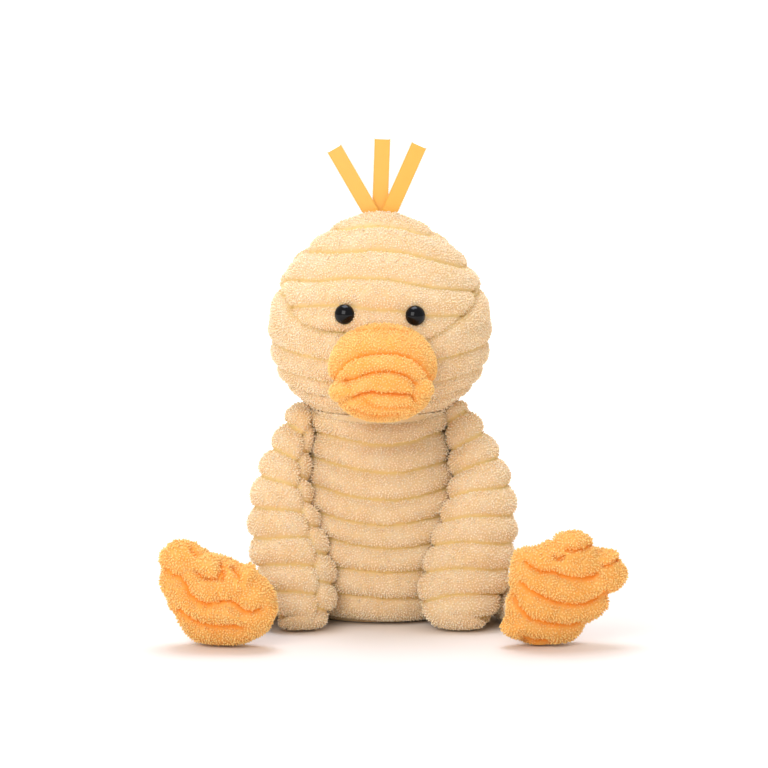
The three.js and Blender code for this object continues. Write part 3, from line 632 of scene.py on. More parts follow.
def head_profile(inset):
    """The head's outline from the ball that sits in the neck up over the cheeks and the crown."""
    points = []
    bottom = NECK_PIVOT - HEAD_BALL
    for share in np.linspace(0, 1, 7):
        z = bottom + (CHEEK_HEIGHT - bottom) * share ** 2
        radius = math.sqrt(max(HEAD_BALL ** 2 - (z - NECK_PIVOT) ** 2, 0))
        points.append((radius, radius, z))
    rows = [(CHEEK_HEIGHT + (HEAD_WAIST - CHEEK_HEIGHT) * r, w) for r, w in CHEEKS]
    rows += [(HEAD_WAIST + (HEAD_TOP - HEAD_WAIST) * r, w) for r, w in CROWN]
    for z, w in rows:
        rise = np.clip((z - CHEEK_HEIGHT) / (HEAD_WAIST - CHEEK_HEIGHT), 0, 1)
        flat = 1 - HEAD_FLATNESS * rise ** 2 * (3 - 2 * rise)
        points.append((HEAD_HALF_WIDTH * w, HEAD_HALF_WIDTH * w * flat, z))
    return drawn_in(curve_through(points), inset, 1)


def on_face(x, z):
    """The point of the head's front, and its outward direction, at a place across and up."""
    profile = head_profile(0)
    order = np.argsort(profile[:, 2])
    half_width = np.interp(z, profile[order, 2], profile[order, 0])
    half_depth = np.interp(z, profile[order, 2], profile[order, 1])
    y = -half_depth * math.sqrt(1 - (x / half_width) ** 2)
    crown = HEAD_TOP - HEAD_WAIST
    out = Vector((x / half_width ** 2, y / half_depth ** 2, (z - HEAD_WAIST) / crown ** 2))
    return Vector((x, y, z)), out.normalized()


def line_gap(across, up, lines):
    """The distance of seen places from the nearest of some lines of seen points."""
    best = np.full(np.shape(across), 1e9)
    for line in lines:
        for (x0, y0), (x1, y1) in zip(line, line[1:]):
            dx, dy = x1 - x0, y1 - y0
            share = np.clip(((across - x0) * dx + (up - y0) * dy) / (dx * dx + dy * dy), 0, 1)
            best = np.minimum(best, np.hypot(across - x0 - share * dx, up - y0 - share * dy))
    return best


eye_spots = {name: on_face(side * EYE_SPACING / 2, EYE_HEIGHT) for side, name in SIDES}
head_coarse = upright(head_profile(STUFFING_ROOM), COARSE_RINGS, COARSE_COLUMNS)
head_held = (head_coarse[..., 2] < HEAD_HELD[0]) | (head_coarse[..., 2] > HEAD_HELD[1])
head_held |= np.abs(head_coarse[..., 1]) < SEAM_HELD
head_moved = stuffed("head_stuffing", head_coarse, head_held, STUFFING_ROOM)
HEAD_RINGS, HEAD_COLUMNS = 250, 290
head_grid = upright(head_profile(SKIN_INSET), HEAD_RINGS, HEAD_COLUMNS)
head_grid = head_grid + finer(head_moved, HEAD_RINGS, HEAD_COLUMNS)
a, u = seen(head_grid)
x, y, z = head_grid[..., 0], head_grid[..., 1], head_grid[..., 2]
dart_line = [*LEFT_DART, *UNDER_BILL, *RIGHT_DART]
forehead = (y < 0) & (u > np.interp(a, *np.array(dart_line).T))
gap_forehead, rise_forehead = between(a, u, FOREHEAD_GROOVES, FOREHEAD_PITCH)
turned = np.abs(np.arctan2(x, -y))
climb = CHEEK_CLIMB * np.sin(np.clip((turned - CLIMB_FROM) / CLIMB_OVER, 0, np.pi / 2))
outline = head_profile(SKIN_INSET)
outline_reach = distances(outline)
reach = np.interp(z - climb, outline[:, 2], outline_reach)
first, second = np.interp(CHEEK_WALES, outline[:, 2], outline_reach)
levels = [second - 2 * WALE, second - WALE, second, *(first + WALE * np.arange(8))]
gap_side, rise_side = between(a, reach, [[(0, level), (1, level)] for level in levels], WALE)
gap = np.where(forehead, gap_forehead, gap_side)
rise = np.where(forehead, rise_forehead, rise_side)
past_roll = np.abs(reach - first - WALE)
one_roll = np.clip((ONE_ROLL_TO - turned) / ONE_ROLL_FADE, 0, 1)
one_roll = one_roll * (y < 0) * ~forehead * (past_roll < WALE / 2)
gap = gap + 8 * one_roll
rise = rise + (0.5 - rise) * one_roll * np.clip(1 - past_roll / WALE * 2, 0, 1)
dart_seams = line_gap(a, u, (LEFT_DART, RIGHT_DART)) + FAR * (y > 0)
crown_seam = np.abs(y) + FAR * (z < CROWN_SEAM_LOW)
back_seam = np.abs(x) + FAR * (y < 0)
seam = np.minimum(np.minimum(dart_seams, crown_seam), back_seam)
in_neck = np.clip((NECK_TOP - z) / NECK_FADE, 0, 1)
depth = WALE_RELIEF * HEAD_RELIEF * roll(rise, HEAD_ROLL) * (1 - in_neck) + dip(seam, *HEAD_SEAM)
for spot, _ in eye_spots.values():
    away = np.linalg.norm(head_grid - np.array(spot), axis=2)
    depth = depth * np.clip(away / EYE_FLAT, 0, 1) ** 0.5 + dip(away, *EYE_HOLLOW)
head_grid = pressed_in(head_grid, depth)
groove, pile = cord(gap, seam, groove=(0.85, 0.75), stitch=(0.5, 0.8), bare=(1.15, 0.8))
pile = pile * (1 - 0.6 * in_neck)
for spot, _ in eye_spots.values():
    away = np.linalg.norm(head_grid - np.array(spot), axis=2)
    pile = pile * (away > EYE_RADIUS - 0.4)
    groove = groove * (away > EYE_RADIUS)
head_skin, head_pile = sew("head", head_grid, cream_plush, groove, pile, 12)
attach(head_skin, "head")
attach(head_pile, "head")
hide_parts("head_skin", "head_filling")


# Neck: a packed plug of fibre where head and body meet, and the closing thread pulled
# tight round the seam, hidden under the head.

PLUG_RADIUS = 19.2
PLUG_LOW, PLUG_HIGH = 75, 86.5
PLUG_PROFILE = [(0.05, PLUG_LOW), (PLUG_RADIUS * 0.8, PLUG_LOW + 0.4), (PLUG_RADIUS, PLUG_LOW + 4),
                (PLUG_RADIUS, PLUG_HIGH - 2), (PLUG_RADIUS * 0.9, PLUG_HIGH - 0.4), (14, 84.6), (0.05, 83.2)]

# Packed polyester fibre: white, quite matt, in lumps of a few mm, painted greyer in the hollows between the
# lumps as painted shade.
fibre, tree, shader = new_finish("polyester_fibre_packed")
place = node(tree, "ShaderNodeTexCoord").outputs["Object"]
lumps = node(tree, "ShaderNodeTexNoise", {"Vector": place, "Scale": 400.0, "Detail": 4.0})
lump_shaded_colour = node(tree, "ShaderNodeMix",
               {0: lumps, 6: linear("#e3e0d6"), 7: linear("#fbfaf6")}, data_type="RGBA")
bump = node(tree, "ShaderNodeBump", {"Height": lumps, "Strength": 0.8, "Distance": 0.001})
feed(tree, shader, {"Base Color": lump_shaded_colour, "Normal": bump, "Roughness": 0.95})

plug_grid = upright(curve_through([(r, r, z) for r, z in PLUG_PROFILE]), 40, 60)
plug_lumps = 0.3 * np.sin(plug_grid[..., 0] * 1.1) * np.cos(plug_grid[..., 1] * 0.9)
plug_grid = pressed_in(plug_grid, -plug_lumps)
neck_plug = shown("neck_packing", closed_mesh("neck_packing", plug_grid), fibre)
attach(neck_plug, "neck")
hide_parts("neck_plug")

# The thread's plies twist once in about 1.2 mm, drawn as slanting strands round its ring.
THREAD_PLIES = 153
THREAD_SLANT = 3600
thread_finish, tree, shader = new_finish("polyester_thread_twisted")
place = node(tree, "ShaderNodeTexCoord").outputs["Object"]
parts = node(tree, "ShaderNodeSeparateXYZ", {0: place}).outputs
bearing = node(tree, "ShaderNodeMath", {0: parts["Y"], 1: parts["X"]}, operation="ARCTAN2")
plies = node(tree, "ShaderNodeMath", {0: bearing, 1: THREAD_PLIES}, operation="MULTIPLY")
slant = node(tree, "ShaderNodeMath", {0: parts["Z"], 1: THREAD_SLANT, 2: plies}, operation="MULTIPLY_ADD")
strand = node(tree, "ShaderNodeMath", {0: slant}, operation="SINE")
# Painted shade: the thread is painted darker in the hollows between its plies, where the bump dips.
shade = node(tree, "ShaderNodeMapRange", {"Value": strand, "From Min": -1})
ply_shaded_colour = node(tree, "ShaderNodeMix", {0: shade, 6: linear("#cdb27c"), 7: linear("#f4e3b8")}, data_type="RGBA")
bump = node(tree, "ShaderNodeBump", {"Height": strand, "Strength": 0.7, "Distance": 0.0002})
feed(tree, shader, {"Base Color": ply_shaded_colour, "Normal": bump, "Roughness": 0.7, "Sheen Weight": 0.3})


def refinish(name, material):
    """Gives a solid of the frame its finish."""
    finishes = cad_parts[name].data.materials
    finishes.clear()
    finishes.append(material)


refinish("neck_thread", thread_finish)


# Bill: orange cord plush, a rounded muzzle sewn to the face and packed full, with its
# wales arched over it. A deep fold makes the mouth, the lip below it gathered small.

BILL_HALF_WIDTH = 24.1
BILL_HALF_HEIGHT = 21.75
BILL_ROOT = 36
BILL_REACH = 40
BILL_HEIGHT = 115
BILL_DROP = 4
BILL_SHIFT = 1.2
BILL_CHIN = 0.92
BILL_SQUARENESS = 0.86
BILL_OUTLINE = [(-0.12, 0.7, 0.6, -0.8), (0, 0.88, 0.78, -0.6), (0.32, 1, 1, 0.05), (0.6, 0.95, 0.94, 0.35),
                (0.8, 0.79, 0.77, 0.7), (0.93, 0.54, 0.51, 0.92), (1, 0, 0, 1)]
CHIN_BEARING = math.radians(48)
BILL_ARCS = [
    [(-23.0, 104), (-20.0, 109.1), (-16.1, 113.7), (-10.3, 116.6), (-4.6, 117.8), (1.2, 118.2), (8.3, 117.8),
     (14.1, 116.3), (18.4, 113.4), (22.0, 109.4), (24.8, 104.1)],
    [(-17.5, 104.8), (-11.8, 105.9), (-7.5, 107.6), (-1.7, 108.9), (4.7, 109.2), (10.5, 108.0), (14.1, 106.2),
     (16.9, 103.3)]]
BILL_TOP_LINE = [(-12, 127), (-6.7, 128.1), (0.4, 128.3), (8.3, 127.7), (13, 126.5)]
MOUTH = [(-13.2, 96.2), (-8.6, 98.4), (-4.0, 99.3), (0.4, 98.3), (8.5, 98.3), (15.4, 97.9), (16.2, 95.6)]
LIP_FOLDS = [[(-7.5, 96.2), (-5.7, 94.6), (-3.2, 92.8), (1.2, 91.9), (7.3, 92.1), (13.3, 92.6)],
             [(-13, 91.9), (-7.4, 89.5), (-1.3, 88.4), (9, 89.0)]]
LIP_KNOBS = [(-18.4, 100.0, 3.8, 2.3), (20.2, 101.5, 3.4, 2.5)]
BILL_COARSE = (1.4, 16, 22)
BILL_ROOM = 1.2
BILL_SEWN = -44
BILL_PILE_FROM = -37
BILL_ARCS_LOW = 96
CHIN_FADE = math.radians(4)
BILL_FURROW = (3.0, 4.6)
TOP_LINE_DIP = (0.7, 0.9)
MOUTH_DIP = (1.5, 1.0)
FOLD_DIP = (1.0, 1.3)
# Orange plush: tip colour with painted highlight, root colour with painted warm shade, ground colour.
orange_plush = cord_plush("cord_plush_orange", "#ffe3a0", "#fcb04c", "#f4942d")


def bill_rings(inset, rings, columns):
    """Upright rings of the bill from its root in the face to its tip."""
    line = evenly(curve_through(BILL_OUTLINE), rings)[0]
    turn = bearings(columns)
    wide = np.maximum(line[:, 1] * BILL_HALF_WIDTH - inset, LEAST_RADIUS)[:, None]
    high = np.maximum(line[:, 2] * BILL_HALF_HEIGHT - inset, LEAST_RADIUS)[:, None]
    chin = np.where(np.sin(turn) < 0, BILL_CHIN, 1)
    grid = np.empty((rings, columns, 3))
    grid[..., 0] = BILL_SHIFT + wide * np.sign(np.cos(turn)) * np.abs(np.cos(turn)) ** BILL_SQUARENESS
    grid[..., 1] = -(BILL_ROOT + np.minimum(line[:, :1] * BILL_REACH, BILL_REACH - inset))
    grid[..., 2] = BILL_HEIGHT - BILL_DROP * line[:, 3:4] + high * np.sin(turn) * chin
    return grid


def furrow(gap, deep, width):
    """A wide rounded groove's depth, by the distance from its middle and its half width."""
    return deep * (1 - np.sin(np.pi / 2 * np.clip(gap / width, 0, 1)) ** 0.75)


bill_coarse = bill_rings(*BILL_COARSE)
bill_moved = stuffed("bill_stuffing", bill_coarse, bill_coarse[..., 1] > BILL_SEWN, BILL_ROOM)
BILL_RINGS, BILL_COLUMNS = 130, 180
bill_grid = bill_rings(SKIN_INSET, BILL_RINGS, BILL_COLUMNS) + finer(bill_moved, BILL_RINGS, BILL_COLUMNS)
a, u = seen(bill_grid)
gap = line_gap(a, u, BILL_ARCS)
top = bill_grid[..., 2] > BILL_ARCS_LOW
mouth = line_gap(a, u, [MOUTH])
top_line = line_gap(a, u, [BILL_TOP_LINE])
folds = line_gap(a, u, LIP_FOLDS)
depth = furrow(np.minimum(gap, mouth + 1.0), *BILL_FURROW)
depth = depth + dip(top_line, *TOP_LINE_DIP) + dip(mouth, *MOUTH_DIP) + dip(folds, *FOLD_DIP)
for across, up, size, swell in LIP_KNOBS:
    from_knob = np.hypot(a - across, u - up)
    depth = depth - dip(from_knob, swell, size * 0.85) + dip(from_knob - size * 1.3, 0.9, 0.8)
bill_grid = pressed_in(bill_grid, depth)
down, ahead = NECK_PIVOT - bill_grid[..., 2], -bill_grid[..., 1]
tucked = np.clip((CHIN_BEARING - np.arctan2(ahead, down)) / CHIN_FADE + 1, 0, 1)
shrink = 1 - tucked * np.clip(1 - (HEAD_BALL - 1) / np.hypot(ahead, down), 0, 1)
bill_grid[..., 1] *= shrink
bill_grid[..., 2] = NECK_PIVOT - down * shrink
groove = dip(gap, 0.95, 0.75) * top + dip(mouth, 0.85, 0.9) + dip(folds, 0.6, 0.7) + dip(top_line, 0.6, 0.6)
groove = np.clip(groove, 0, 1)
pile = np.clip(1 - dip(gap, 1.1, 0.7) * top, 0, 1) * np.clip(1 - dip(mouth, 1.2, 1.0), 0, 1)
pile = pile * (bill_grid[..., 1] < BILL_PILE_FROM)
bill_skin, bill_pile = sew("bill", bill_grid, orange_plush, groove, pile, 13)
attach(bill_skin, "head")
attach(bill_pile, "head")
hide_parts("bill_skin", "bill_filling")


# Eyes: glossy black moulded domes, each on a shank that goes through the face and is
# locked behind it by a pressed-on washer.

EYE_BULGE = 3.8
EYE_SHANK_RADIUS = 1.6
EYE_SHANK_LENGTH = 11
EYE_SIDES = 64
EYE_SINK = {"left": 0.6, "right": 1.2}

# Moulded black plastic: a deep gloss, with the mould's very slight ripple.
eye_gloss, tree, shader = new_finish("moulded_black_gloss")
place = node(tree, "ShaderNodeTexCoord").outputs["Object"]
ripple = node(tree, "ShaderNodeTexNoise", {"Vector": place, "Scale": 250.0, "Detail": 1.0})
bump = node(tree, "ShaderNodeBump", {"Height": ripple, "Strength": 0.03, "Distance": 0.0005})
feed(tree, shader, {
    "Base Color": linear("#060508"), "Normal": bump, "Roughness": 0.06, "Specular IOR Level": 0.22})

# Moulded milky plastic, half matt, with a fine grain.
washer_plastic, tree, shader = new_finish("moulded_washer_plastic")
place = node(tree, "ShaderNodeTexCoord").outputs["Object"]
grain = node(tree, "ShaderNodeTexNoise", {"Vector": place, "Scale": 900.0, "Detail": 2.0})
clouded = node(tree, "ShaderNodeMix",
               {0: grain, 6: linear("#dedbd3"), 7: linear("#efede8")}, data_type="RGBA")
bump = node(tree, "ShaderNodeBump", {"Height": grain, "Strength": 0.15, "Distance": 0.0003})
feed(tree, shader, {"Base Color": clouded, "Normal": bump, "Roughness": 0.45})

profile = [(EYE_RADIUS * math.cos(t), EYE_BULGE * math.sin(t)) for t in np.linspace(1.54, 0, 22)]
profile += [(EYE_RADIUS - 0.06, -0.12), (EYE_RADIUS - 0.25, -0.25), (EYE_SHANK_RADIUS + 0.4, -0.35),
            (EYE_SHANK_RADIUS, -0.8), (EYE_SHANK_RADIUS, -EYE_SHANK_LENGTH + 0.5),
            (EYE_SHANK_RADIUS - 0.5, -EYE_SHANK_LENGTH)]
profile = np.array(profile)
turn = bearings(EYE_SIDES)
rings = np.stack([profile[:, :1] * np.cos(turn), profile[:, :1] * np.sin(turn),
                  np.repeat(profile[:, 1:], EYE_SIDES, 1)], 2)
for name, (spot, out) in eye_spots.items():
    facing = np.array(out.to_track_quat("Z", "Y").to_matrix())
    eye_grid = rings @ facing.T + np.array(spot) - np.array([0, 0, EYE_SINK[name]])
    eye = shown(f"eye_{name}_dome", closed_mesh(f"eye_{name}_dome", eye_grid), eye_gloss)
    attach(eye, "head")
    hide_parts(f"eye_{name}")
    refinish(f"eye_washer_{name}", washer_plastic)


# Ribbons: three cut lengths of narrow yellow satin ribbon with woven picot edges, caught
# in the crown seam so that they fan out.

RIBBON_WIDTH = 6.8
RIBBON_LENGTH = 31.5
RIBBON_THICKNESS = 0.35
RIBBONS = [("left", -4.6, -0.9, -30), ("middle", 0, 0.9, 2), ("right", 4.6, -0.9, 24)]
RIBBON_ROWS = 64
RIBBON_SINK = 0.9
WEFT_PITCH = 0.42
PICOT_PITCH = 0.95
PICOT_RADIUS = 0.3
PICOT_THREAD = 0.1

# Woven satin: long floats that gleam softly along the ribbon, over fine weft ribs. The
# ribs are really about 0.1 mm apart, and are drawn coarser so that they show.
satin, tree, shader = new_finish("satin_ribbon_woven")
along, across = [node(tree, "ShaderNodeAttribute", attribute_name=key).outputs["Fac"]
                 for key in ("along", "across")]
ribs = node(tree, "ShaderNodeMath", {0: along, 1: 2 * math.pi / WEFT_PITCH}, operation="MULTIPLY")
rib = node(tree, "ShaderNodeMath", {0: ribs}, operation="SINE")
# Painted shade: each weft rib is painted darker in its hollow, where the bump dips.
rib_shade = node(tree, "ShaderNodeMapRange", {"Value": rib, "From Min": -1})
cloth = node(tree, "ShaderNodeMix", {0: rib_shade, 6: linear("#eba93c"), 7: linear("#f2b650")}, data_type="RGBA")
selvedge = node(tree, "ShaderNodeMapRange", {"Value": across, "From Min": 0.86, "From Max": 0.92})
edged = node(tree, "ShaderNodeMix", {0: selvedge, 6: cloth, 7: linear("#e7a534")}, data_type="RGBA")
bump = node(tree, "ShaderNodeBump", {"Height": rib, "Strength": 0.35, "Distance": 0.0001})
feed(tree, shader, {
    "Base Color": edged, "Normal": bump, "Roughness": 0.42, "Sheen Weight": 0.15, "Anisotropic": 0.5})


def picot_tree():
    """Geometry Nodes that set small loops of thread side by side along an edge line."""
    tree, given = new_tree("picot_loops", "Loops", Edge="Geometry", Pitch="Float", Loop="Float",
                           Thread="Float", Fabric="Material")
    line = node(tree, "GeometryNodeMeshToCurve", {"Mesh": given["Edge"]})
    steps = node(tree, "GeometryNodeCurveToPoints", {"Curve": line, "Length": given["Pitch"]}, mode="LENGTH")
    ring = node(tree, "GeometryNodeCurvePrimitiveCircle", {"Radius": given["Loop"], "Resolution": 8})
    strand = node(tree, "GeometryNodeCurvePrimitiveCircle", {"Radius": given["Thread"], "Resolution": 4})
    loop = node(tree, "GeometryNodeCurveToMesh", {"Curve": ring, "Profile Curve": strand})
    upended = node(tree, "GeometryNodeTransform", {"Geometry": loop, "Rotation": (math.pi / 2, 0, 0)})
    placed = node(tree, "GeometryNodeInstanceOnPoints", {"Points": steps, "Instance": upended})
    return end_tree(tree, "Loops", placed, given["Fabric"])


PICOTS = picot_tree()
shares = np.linspace(-0.025, 1, RIBBON_ROWS)
places = np.array([-1, -0.9, 0, 0.9, 1, 1, 0.9, 0, -0.9, -1])
backs = np.array([-0.5] * 5 + [0.5] * 5)
first = np.arange(4, RIBBON_ROWS - 1)
pairs = np.stack([first, first + 1], 1)
for name, x, y, lean in RIBBONS:
    ahead = np.array([math.sin(math.radians(lean)), 0, math.cos(math.radians(lean))])
    wide = np.array([ahead[2], 0, -ahead[0]])
    centres = np.array([x, y, HEAD_TOP]) + ahead * (RIBBON_LENGTH * shares)[:, None]
    slab = (centres[:, None] + wide * (places * RIBBON_WIDTH / 2)[:, None]
            + np.array([0, RIBBON_THICKNESS, 0]) * backs[:, None])
    spare = np.maximum(slab[0, :, 2] - HEAD_TOP + RIBBON_SINK, 0) / ahead[2]
    slab[0] = slab[0] - ahead * spare[:, None]
    mesh = closed_mesh(f"ribbon_{name}_satin", slab, along=(RIBBON_LENGTH * shares)[:, None],
                       across=np.abs(places)[None, :])
    mesh.shade_flat()
    ribbon = shown(f"ribbon_{name}_satin", mesh, satin)
    line = bpy.data.meshes.new(f"ribbon_{name}_edges")
    edges = np.vstack([centres + wide * (side * RIBBON_WIDTH / 2) for side in (-1, 1)])
    line.from_pydata((edges / 1000).tolist(), np.vstack([pairs, pairs + RIBBON_ROWS]).tolist(), [])
    guide = shown(f"ribbon_{name}_edges", line)
    weave = guide.modifiers.new("picots", "NODES")
    weave.node_group = PICOTS
    fill_in(weave, Pitch=PICOT_PITCH / 1000, Loop=PICOT_RADIUS / 1000, Thread=PICOT_THREAD / 1000,
            Fabric=satin)
    loops = bake(f"ribbon_{name}_picots", guide, weave)
    bpy.data.objects.remove(guide)
    for piece in (ribbon, loops):
        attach(piece, f"ribbon_{name}")
    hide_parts(f"ribbon_{name}")


# Arms: long cream cord-plush tubes, each cut in two panels whose wales miss each other by
# half a wale at the seams, packed loosely at the shoulder and full at the tip. The top is
# sewn into the body's side.

ARM_SPAN = 38
ARM_TOP = 95
ARM_LENGTH = 94
ARM_FORWARD = -5
ARM_LEAN = 0.55
ARM_HALF_WIDTH = 18.75
ARM_HALF_DEPTH = 15
ARM_PITCH = {"left": 13.2, "right": 12.6}
LIMB_CLEARANCE = 0.7
ARM_SPINE = {
    "left": [(0, 0.86), (0.09, 0.92), (0.2, 1.03), (0.38, 1.13), (0.56, 1.1), (0.72, 1.0),
             (0.86, 0.94), (1, 0.91)],
    "right": [(0, 0.8), (0.09, 0.92), (0.2, 1.06), (0.38, 1.17), (0.56, 1.13), (0.72, 1.03),
              (0.86, 0.95), (1, 0.92)]}
ARM_FULLNESS = {"left": 1.0, "right": 1.08}
ARM_TILT_OUT = {"left": (4.3, 4.4, 4.3), "right": (2.3, 5.1, 4.4)}
ARM_TILT_FRONT = 4.5
ARM_OUTLINE = [(0, 0, 0), (0.015, 0.26, 0.3), (0.06, 0.46, 0.56), (0.16, 0.53, 0.64), (0.3, 0.7, 0.78),
               (0.46, 0.87, 0.92), (0.64, 1, 1), (0.8, 0.95, 0.97), (0.9, 0.83, 0.85), (0.965, 0.6, 0.6),
               (0.992, 0.3, 0.3), (1, 0, 0)]
ARM_HAND = {"left": 1.0, "right": 1.05}
ARM_PHASE = {"left": 0.517, "right": 0.566}
ARM_SEAMS = {"left": (57, 237), "right": (195, -18)}
ARM_RINGS, ARM_COLUMNS = 190, 110
ARM_COARSE_RINGS, ARM_COARSE_COLUMNS = 24, 16
ARM_INSET, ARM_ROOM = 1.3, 1.2
SHOULDER_HELD = 6
ARM_ENDS = (3, 4)
ARM_TILT_AT = (0.2, 0.6, 0.95)
HAND_FROM = (0.6, 0.85)
ARM_RELIEF = 3.2
ARM_ROLL = 0.76
ARM_SEAM = (1.2, 1.5)
SEAM_MM_PER_DEGREE = 0.27
LIMB_LOWEST = 0.9
body_outline = curve_through(body_line)


def tube(spine, outline, half_width, half_depth, inset, rings, columns, across=(1, 0, 0)):
    """Oval rings square to a spine, from an outline of shares [place, width, depth] along it."""
    spine, reach = evenly(spine, 400)
    outline = curve_through(outline, 60)
    line = np.stack([outline[:, 0] * reach[-1], outline[:, 1] * half_width, outline[:, 2] * half_depth], 1)
    line = evenly(line, rings)[0]
    centre = np.stack([np.interp(line[:, 0], reach, spine[:, k]) for k in range(3)], 1)
    slope = np.gradient(spine, axis=0)
    ahead = np.stack([np.interp(line[:, 0], reach, slope[:, k]) for k in range(3)], 1)
    ahead /= np.linalg.norm(ahead, axis=1, keepdims=True)
    deep = np.cross(ahead, np.asarray(across, float))
    deep /= np.linalg.norm(deep, axis=1, keepdims=True)
    wide = np.cross(deep, ahead)
    turn = bearings(columns)[None, :, None]
    hw = np.maximum(line[:, 1] - inset, LEAST_RADIUS)[:, None, None]
    hd = np.maximum(line[:, 2] - inset, LEAST_RADIUS)[:, None, None]
    ends = np.clip(line[:, :1], inset, reach[-1] - inset) - line[:, :1]
    grid = (centre[:, None] + ahead[:, None] * ends[..., None] + wide[:, None] * hw * np.cos(turn)
            + deep[:, None] * hd * np.sin(turn))
    return grid, line[:, 0], reach[-1]


def clear_of_body(grid, room):
    """The grid with the points that would be in the body moved out level to its surface."""
    order = np.argsort(body_outline[:, 2], kind="stable")
    heights = body_outline[order, 2]
    wide = np.interp(grid[..., 2], heights, body_outline[order, 0]) + room
    deep = np.interp(grid[..., 2], heights, body_outline[order, 1]) + room
    reach = np.sqrt((grid[..., 0] / wide) ** 2 + (grid[..., 1] / deep) ** 2)
    push = np.where((reach < 1) & (grid[..., 2] < BODY_HEIGHT * 0.9), 1 / np.maximum(reach, 0.2), 1)
    moved = grid.copy()
    moved[..., 0] *= push
    moved[..., 1] *= push
    return moved


for side, name in SIDES:
    spine = curve_through([
        (side * ARM_SPAN * w,
         ARM_FORWARD + ARM_LEAN * (ARM_TOP - BODY_HEIGHT + 10 - ARM_LENGTH * f),
         ARM_TOP - ARM_LENGTH * f) for f, w in ARM_SPINE[name]])
    outline = [(place, w * np.interp(place, HAND_FROM, (1, ARM_HAND[name])), d)
               for place, w, d in ARM_OUTLINE]
    form = (spine, outline, ARM_HALF_WIDTH * ARM_FULLNESS[name], ARM_HALF_DEPTH)
    coarse = tube(*form, ARM_INSET, ARM_COARSE_RINGS, ARM_COARSE_COLUMNS)[0]
    held = np.broadcast_to((np.arange(ARM_COARSE_RINGS) < SHOULDER_HELD)[:, None], coarse.shape[:2])
    moved = stuffed(f"arm_{name}_stuffing", coarse, held, ARM_ROOM)
    arm_grid, fall, whole = tube(*form, SKIN_INSET, ARM_RINGS, ARM_COLUMNS)
    girth = np.linalg.norm(arm_grid - arm_grid.mean(1, keepdims=True), axis=2) / ARM_HALF_WIDTH
    arm_grid = arm_grid + finer(moved, ARM_RINGS, ARM_COLUMNS)
    turn = np.degrees(bearings(ARM_COLUMNS))
    first, second = ARM_SEAMS[name]
    other = ((turn - first) % 360 < (second - first) % 360)[None, :]
    lean = np.radians(turn)[None, :]
    tilt = np.interp(fall / whole, ARM_TILT_AT, ARM_TILT_OUT[name])[:, None]
    level = fall[:, None] + girth * (side * tilt * np.cos(lean) - ARM_TILT_FRONT * np.sin(lean))
    pitch = ARM_PITCH[name]
    gap, rise = even_wales(-level / pitch + ARM_PHASE[name] + 0.5 * other, pitch)
    ends = (fall[:, None] < ARM_ENDS[0]) | (fall[:, None] > whole - ARM_ENDS[1])
    gap = np.where(ends, CREST_GAP, gap)
    rise = np.where(ends, 0.5, rise)
    seam = np.min([np.abs((turn - s + 180) % 360 - 180) for s in (first, second)], axis=0)
    seam = (seam * SEAM_MM_PER_DEGREE)[None, :]
    depth = ARM_RELIEF * roll(rise, ARM_ROLL) + dip(seam, *ARM_SEAM)
    arm_grid = clear_of_body(pressed_in(arm_grid, depth), LIMB_CLEARANCE)
    arm_grid[..., 2] = np.maximum(arm_grid[..., 2], LIMB_LOWEST)
    groove, pile = cord(gap, seam)
    arm_skin, arm_pile = sew(f"arm_{name}", arm_grid, cream_plush, groove, pile, 20 + side)
    for piece in (arm_skin, arm_pile):
        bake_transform(piece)
    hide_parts(f"arm_{name}_skin", f"arm_{name}_filling")


# Legs: cream cord-plush tubes that lie on the floor, sewn under the body's front, with
# wales round them, each running out to a foot.

HIP_SPAN = 49
HIP_FORWARD = -6
LEG_HALF_WIDTH = 12
LEG_HALF_HEIGHT = 11
LEG_ROOT = 9
LEG_REACH = 80
LEG_SPLAY = math.radians(24)
LEG_LIFT = 0.7
LEG_TOE_IN = 6.5
LEG_FROM = 0.22
LEG_END = {"left": 0.985, "right": 0.97}
TOE_IN_FROM, TOE_IN_OVER = 0.3, 0.6
LEG_ROOTS = ((37, 1, 9.4), (44.5, -5.5, 9.2))
LEG_PHASE = 6
LEG_RELIEF = 1.6
LEG_CLEARANCE = 0.3
LEG_RISE = [(0, 0.72), (0.15, 0.76), (0.4, 0.83), (0.7, 0.91), (1, 1)]
LEG_OUTLINE = [(0, 0, 0), (0.004, 0.5, 0.5), (0.02, 0.64, 0.7), (0.15, 0.71, 0.76), (0.4, 0.79, 0.83),
               (0.7, 0.86, 0.91), (0.86, 0.84, 0.93), (0.93, 0.76, 0.85), (0.98, 0.5, 0.6), (1, 0, 0)]
LEG_RINGS, LEG_COLUMNS = 130, 80
